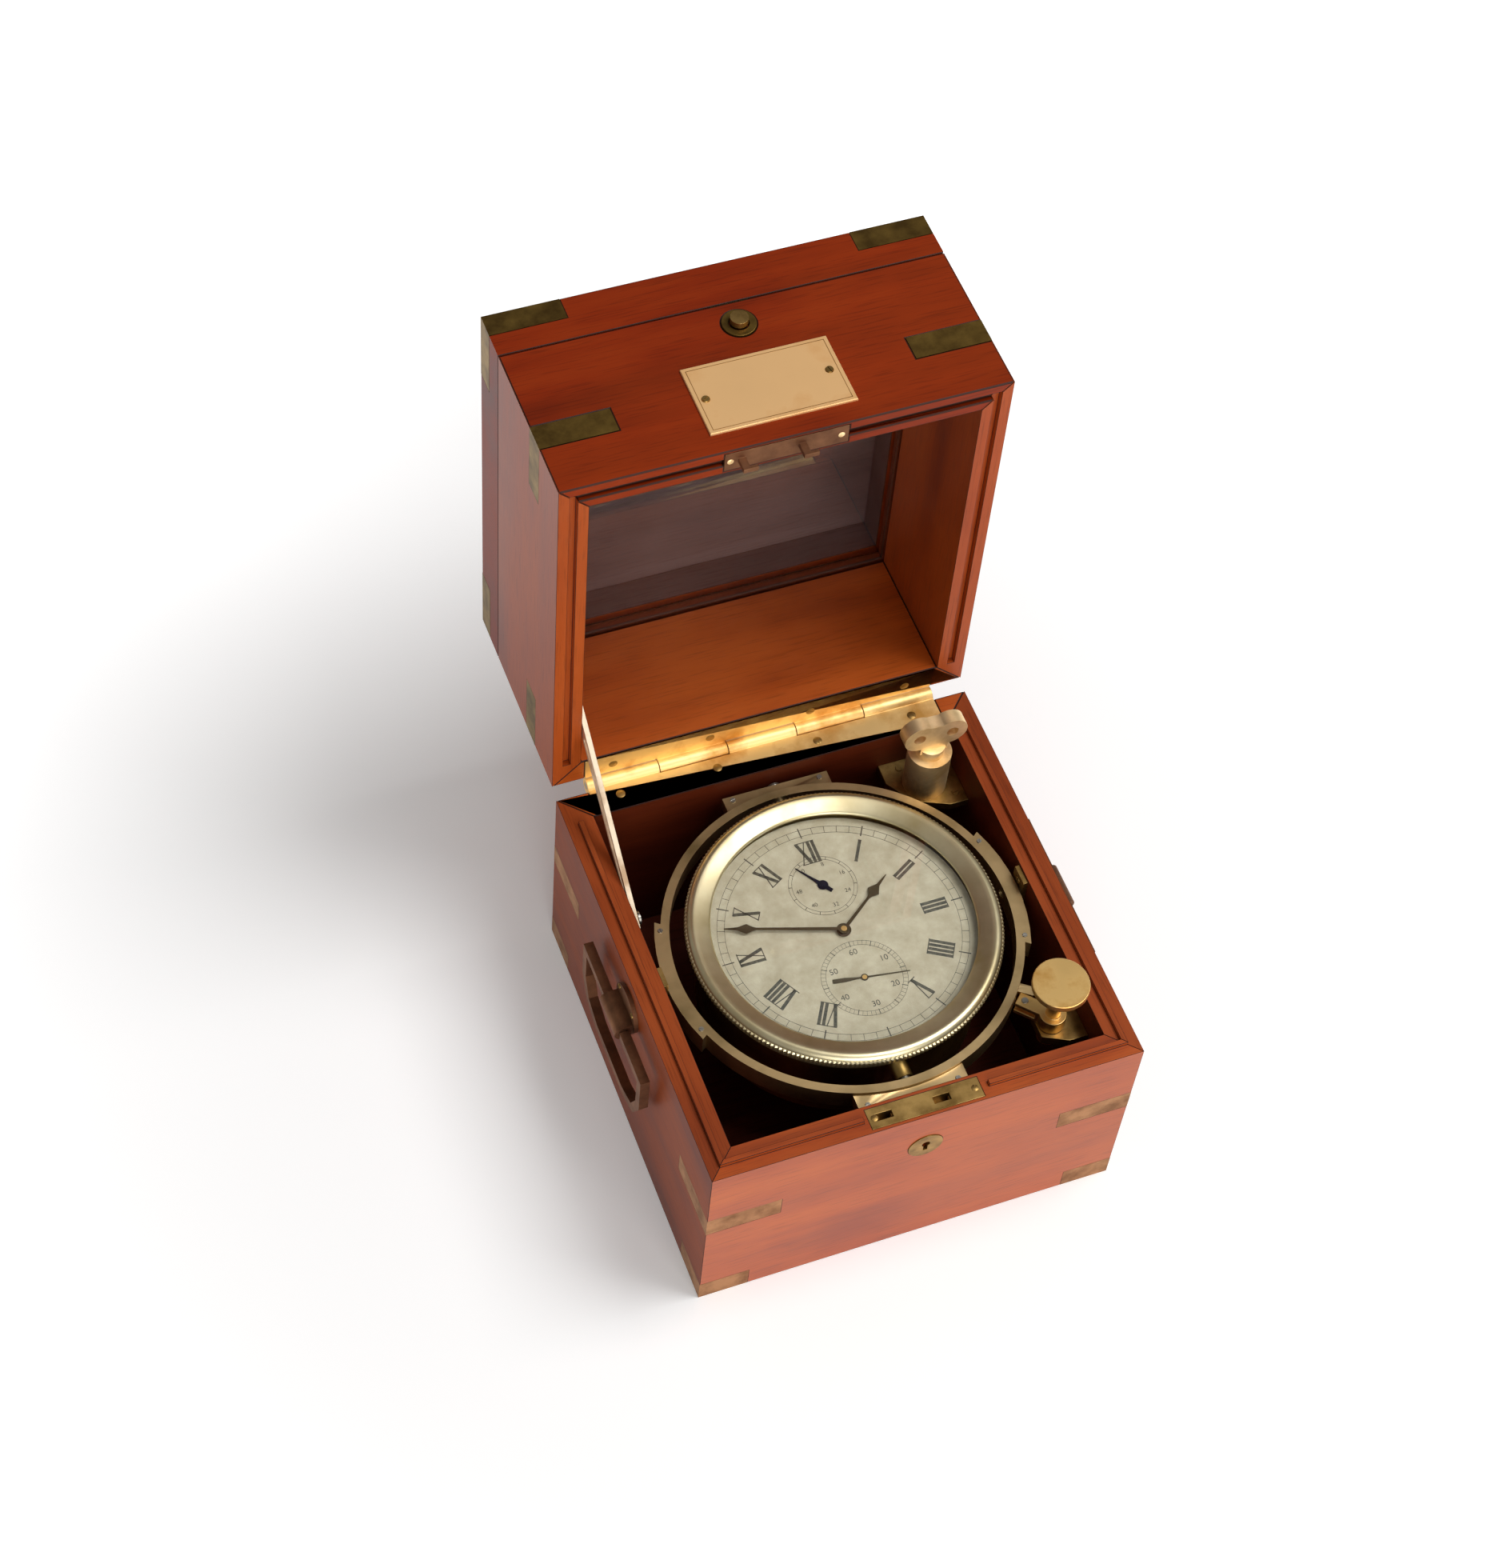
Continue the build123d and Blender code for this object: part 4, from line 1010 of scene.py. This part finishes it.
@dataclass
class DialPrint:
    """Wax-filled figures of the dial: minute track, hours, seconds and reserve circles."""

    depth: float = 0.05
    track: Point = (47.6, 50.6)
    hours: Point = (34.2, 44.6)
    seconds_spot: Point = (0.0, -22.8)
    seconds_track: Point = (15.4, 17.4)
    reserve_spot: Point = (0.0, 22.8)
    reserve_track: Point = (12.6, 14.0)
    broad: float = 1.4
    fine: float = 0.45
    serif: float = 0.38
    bm: bmesh.types.BMesh = field(default_factory=bmesh.new)

    WIDTHS = {"I": 1.9, "V": 4.6, "X": 4.8}
    WORDS = ("XII", "I", "II", "III", "IIII", "V", "VI", "VII", "VIII", "IX", "X", "XI")
    SECONDS = (("60", 0), ("10", 60), ("20", 120), ("30", 180), ("40", 240), ("50", 300))
    RESERVE = (("0", 330), ("8", 20), ("16", 70), ("24", 120), ("32", 170), ("40", 220), ("48", 270))

    def stroke(self, a: Vector, b: Vector, width: float) -> None:
        """Fill a straight stroke between two plan points.

        Args:
            a: where it starts.
            b: where it ends.
            width: its width.
        """
        along = (b - a).normalized()
        side = Vector((-along.y, along.x)) * width / 2
        corners = [self.bm.verts.new((p.x, p.y, DIAL_TOP)) for p in (a - side, b - side, b + side, a + side)]
        raise_face(self.bm, self.bm.faces.new(corners), self.depth, Matrix())

    def ring(self, r: float, width: float, at: Point = (0, 0), steps: int = 128) -> None:
        """Fill a thin circle.

        Args:
            r: its radius.
            width: the line's width.
            at: its middle.
            steps: how many sides the round has.
        """
        low, high = DIAL_TOP, DIAL_TOP + self.depth
        inner, outer = r - width / 2, r + width / 2
        add_spin(self.bm, [(inner, low), (outer, low), (outer, high), (inner, high)], steps,
                 Matrix.Translation((at[0], at[1], 0)))

    def ticks(self, count: int, r0: float, r1: float, width: float, at: Point = (0, 0),
              skip: int = 0) -> None:
        """Fill the radial divisions of a circle.

        Args:
            count: divisions in the whole turn.
            r0: radius of their inner ends.
            r1: radius of their outer ends.
            width: their width.
            at: the circle's middle.
            skip: leave out each one of this many, where not nought.
        """
        middle = Vector(at)
        for k in range(count):
            if skip and k % skip == 0:
                continue
            a = 2 * math.pi * k / count
            out = Vector((math.sin(a), math.cos(a)))
            self.stroke(middle + out * r0, middle + out * r1, width)

    def numeral(self, word: str, deg: float) -> None:
        """Fill a Roman hour standing on the dial's centre.

        Args:
            word: the letters I, V and X.
            deg: its clock angle from twelve.
        """
        a = math.radians(deg)
        up, right = Vector((math.sin(a), math.cos(a))), Vector((math.cos(a), -math.sin(a)))
        foot, head = self.hours

        def spot(u: float, v: float) -> Vector:
            """Plan point of a place across the word and up the letters."""
            return right * u + up * (foot + (head - foot) * v)

        total = sum(self.WIDTHS[letter] for letter in word)
        x = -total / 2
        for letter in word:
            wide = self.WIDTHS[letter]
            mid = x + wide / 2
            if letter == "I":
                self.stroke(spot(mid, 0), spot(mid, 1), self.broad - 0.1)
            if letter == "V":
                self.stroke(spot(x + 0.75, 1), spot(mid, 0), self.broad)
                self.stroke(spot(x + wide - 0.5, 1), spot(mid, 0), self.fine)
            if letter == "X":
                self.stroke(spot(x + 0.75, 1), spot(x + wide - 0.75, 0), self.broad)
                self.stroke(spot(x + wide - 0.6, 1), spot(x + 0.6, 0), self.fine)
            x += wide
        for v in (0, 1):
            self.stroke(spot(0.2 - total / 2, v), spot(total / 2 - 0.2, v), self.serif)

    def figures(self, bm: bmesh.types.BMesh, words: Iterable[tuple[str, float]], radius: float, size: float,
                at: Point) -> None:
        """Set small upright figures round a circle.

        Args:
            bm: the mesh to add to, in metres.
            words: each figure and its clock angle.
            radius: how far they stand from the circle's middle.
            size: their height.
            at: the circle's middle.
        """
        for word, deg in words:
            curve = bpy.data.curves.new("figure", "FONT")
            curve.body = word
            curve.size = size * MM
            curve.align_x = curve.align_y = "CENTER"
            holder = bpy.data.objects.new("figure", curve)
            bpy.context.scene.collection.objects.link(holder)
            bpy.context.view_layer.update()
            mesh = bpy.data.meshes.new_from_object(holder)
            bpy.data.objects.remove(holder)
            a = math.radians(deg)
            spot = (at[0] + radius * math.sin(a), at[1] + radius * math.cos(a), DIAL_TOP + self.depth)
            mesh.transform(Matrix.Translation(Vector(spot) * MM))
            bm.from_mesh(mesh)
            bpy.data.meshes.remove(mesh)

    def build(self) -> None:
        """All the wax of the dial."""
        for r in self.track:
            self.ring(r, 0.16)
        self.ticks(60, *self.track, 0.2, skip=5)
        self.ticks(12, self.track[0] - 1, self.track[1] + 1, 0.5)
        for k, word in enumerate(self.WORDS):
            if word != "VI":
                self.numeral(word, 30 * k)
        inner, outer = self.seconds_track
        for r in self.seconds_track:
            self.ring(r, 0.14, self.seconds_spot, 96)
        self.ticks(60, inner, outer, 0.12, self.seconds_spot, skip=5)
        self.ticks(12, inner - 0.4, outer, 0.3, self.seconds_spot)
        for r in self.reserve_track:
            self.ring(r, 0.14, self.reserve_spot, 72)
        self.ticks(14, *self.reserve_track, 0.25, self.reserve_spot)
        emit("dial_wax", self.bm, Finish.WAX, "bowl_body", 20)
        bm = bmesh.new()
        self.figures(bm, self.SECONDS, 12.4, 3.6, self.seconds_spot)
        self.figures(bm, self.RESERVE, 10.2, 2.6, self.reserve_spot)
        bmesh.ops.solidify(bm, geom=bm.faces[:], thickness=0.00004)
        bmesh.ops.scale(bm, vec=(1 / MM,) * 3, verts=bm.verts)
        emit("dial_small_figures", bm, Finish.WAX, "bowl_body", 20)


@dataclass
class Instrument:
    """The slung bowl with its dial, hands, glass and movement."""

    ROWS = (
        ("bowl", "bowl_body", Finish.BOWL, 0.0),
        ("crystal", "bezel_body", Finish.GLASS, 0.0),
        ("viewing_glass", "middle_tier", Finish.GLASS, 0.0),
        ("dial", "bowl_body", Finish.DIAL, 0.0),
        ("winding_shutter", "shutter", Finish.AGED, 0.2),
        ("hour_hand", "hour", Finish.HAND, 0.0),
        ("minute_hand", "centre", Finish.HAND, 0.0),
        ("seconds_hand", "fourth", Finish.HAND, 0.0),
        ("reserve_hand", "reserve", Finish.BLUED, 0.0),
        ("pillar_plate", "bowl_body", Finish.AGED, 0.0),
        ("top_plate", "bowl_body", Finish.AGED, 0.0),
        ("balance_cock", "bowl_body", Finish.AGED, 0.2),
        ("fusee_chain", "bowl_body", Finish.STEEL, 0.0),
        ("mainspring", "bowl_body", Finish.BLUED, 0.0),
        ("fusee", "fusee_body", Finish.POLISHED, 0.0),
        ("barrel", "barrel_body", Finish.POLISHED, 0.0),
        ("centre_wheel", "centre", Finish.POLISHED, 0.0),
        ("third_wheel", "third", Finish.POLISHED, 0.0),
        ("fourth_wheel", "fourth", Finish.POLISHED, 0.0),
        ("escape_wheel", "escape", Finish.POLISHED, 0.0),
        ("balance_wheel", "balance", Finish.POLISHED, 0.0),
        ("hairspring", "balance", Finish.BLUED, 0.0),
        ("detent", "detent_body", Finish.STEEL, 0.0),
    )

    def dress(self, nodes: dict[str, bpy.types.Object]) -> None:
        """Finish every piece of the bowl and make the ones that the CAD part leaves out.

        Args:
            nodes: the frame's CAD nodes by name.
        """
        for node, body, finish, rounding in self.ROWS:
            DressedNode(node, body, finish, rounding).build(nodes)
        BezelLook().build()
        DialPrint().build()


# Studio

@dataclass
class Studio:
    """White sweep, soft lights and the camera, in metres."""

    lens: float = 76.97
    spot: tuple[float, float, float] = (-0.3548, -0.6281, 1.2197)
    turn: tuple[float, float, float] = (32.05, -14.60, -15.22)
    fill: float = 0.22
    floor_lift: float = 0.14
    pool: float = 0.2
    edge: float = 0.85
    reach: float = 6.0

    def camera(self) -> None:
        """The camera as fitted to the box's edges in the photograph."""
        data = bpy.data.cameras.new("camera")
        data.lens = self.lens
        data.sensor_width = 36
        data.clip_end = 50
        obj = bpy.data.objects.new("camera", data)
        x, y, z = [math.radians(v) for v in self.turn]
        turn = Matrix.Rotation(x, 4, "X") @ Matrix.Rotation(y, 4, "Y") @ Matrix.Rotation(z, 4, "Z")
        obj.matrix_world = Matrix.Translation(self.spot) @ turn
        bpy.context.scene.collection.objects.link(obj)
        bpy.context.scene.camera = obj

    def soft_box(self, name: str, spot: Sequence[float], size: float, power: float) -> None:
        """Add a square soft box that looks at the instrument.

        Args:
            name: the light's name.
            spot: where it stands.
            size: its side.
            power: its watts.
        """
        data = bpy.data.lights.new(name, "AREA")
        data.size = size
        data.energy = power
        obj = bpy.data.objects.new(name, data)
        look = Vector((0, 0, 0.1)) - Vector(spot)
        obj.matrix_world = Matrix.Translation(spot) @ look.to_track_quat("-Z", "Y").to_matrix().to_4x4()
        bpy.context.scene.collection.objects.link(obj)

    def world(self) -> None:
        """White to the camera, softer grey to the object."""
        world = bpy.data.worlds.new("sweep")
        world.use_nodes = True
        tree = world.node_tree
        tree.nodes.clear()
        seen = add_node(tree, "ShaderNodeBackground", {"Color": (1, 1, 1, 1), "Strength": 1.0}).outputs[0]
        fill = add_node(tree, "ShaderNodeBackground", {"Color": linear("#FFFDFA"),
                                                       "Strength": self.fill}).outputs[0]
        camera = add_node(tree, "ShaderNodeLightPath").outputs["Is Camera Ray"]
        mix = add_node(tree, "ShaderNodeMixShader", {0: camera, 1: fill, 2: seen}).outputs[0]
        add_node(tree, "ShaderNodeOutputWorld", {"Surface": mix})
        bpy.context.scene.world = world

    def floor(self) -> None:
        """Pale paper under the box, which glows towards white away from the shadow.

        The glow shows to the camera, directly and through glass and reflections, and lights nothing.
        """
        bm = bmesh.new()
        bmesh.ops.create_grid(bm, x_segments=1, y_segments=1, size=self.reach)
        obj = link_mesh("floor", bm)
        s = Shader("white_paper_sweep")
        path = s.add("ShaderNodeLightPath").outputs
        seen = s.add("ShaderNodeMath", {0: path["Is Camera Ray"], 1: path["Is Glossy Ray"]},
                     operation="MAXIMUM").outputs[0]
        seen = s.add("ShaderNodeMath", {0: seen, 1: path["Is Transmission Ray"]},
                     operation="MAXIMUM").outputs[0]
        away = s.add("ShaderNodeVectorMath", {0: s.place}, operation="LENGTH").outputs["Value"]
        lift = s.add("ShaderNodeMapRange", {"Value": away, "From Min": self.pool, "From Max": self.edge,
                                            "To Min": self.floor_lift, "To Max": 1.0},
                     interpolation_type="SMOOTHSTEP").outputs[0]
        shown = s.add("ShaderNodeMath", {0: seen, 1: lift}, operation="MULTIPLY").outputs[0]
        s.set(Base_Color=linear("#FDFDFD"), Roughness=0.9, Specular_IOR_Level=0.1)
        s.set(Emission_Color=linear("#FFFFFF"), Emission_Strength=shown)
        obj.data.materials.append(s.material)

    def build(self) -> None:
        """Set the whole studio."""
        bpy.context.scene.view_settings.view_transform = "Standard"
        self.camera()
        self.world()
        self.floor()
        self.soft_box("key", (1.45, -0.5, 3.2), 1.8, 76)
        self.soft_box("front", (-0.2, -3.4, 1.3), 2.6, 72)


def main() -> None:
    """Build the scene."""
    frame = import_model()
    nodes = frame["nodes"]
    Carcase().dress(nodes)
    fittings = Fittings()
    fittings.dress(nodes)
    fittings.rim_screws()
    fittings.wall_screws()
    fittings.gimbal_screws()
    Plaque().build()
    Instrument().dress(nodes)
    Studio().build()
    bpy.context.view_layer.update()


if __name__ == "__main__":
    main()
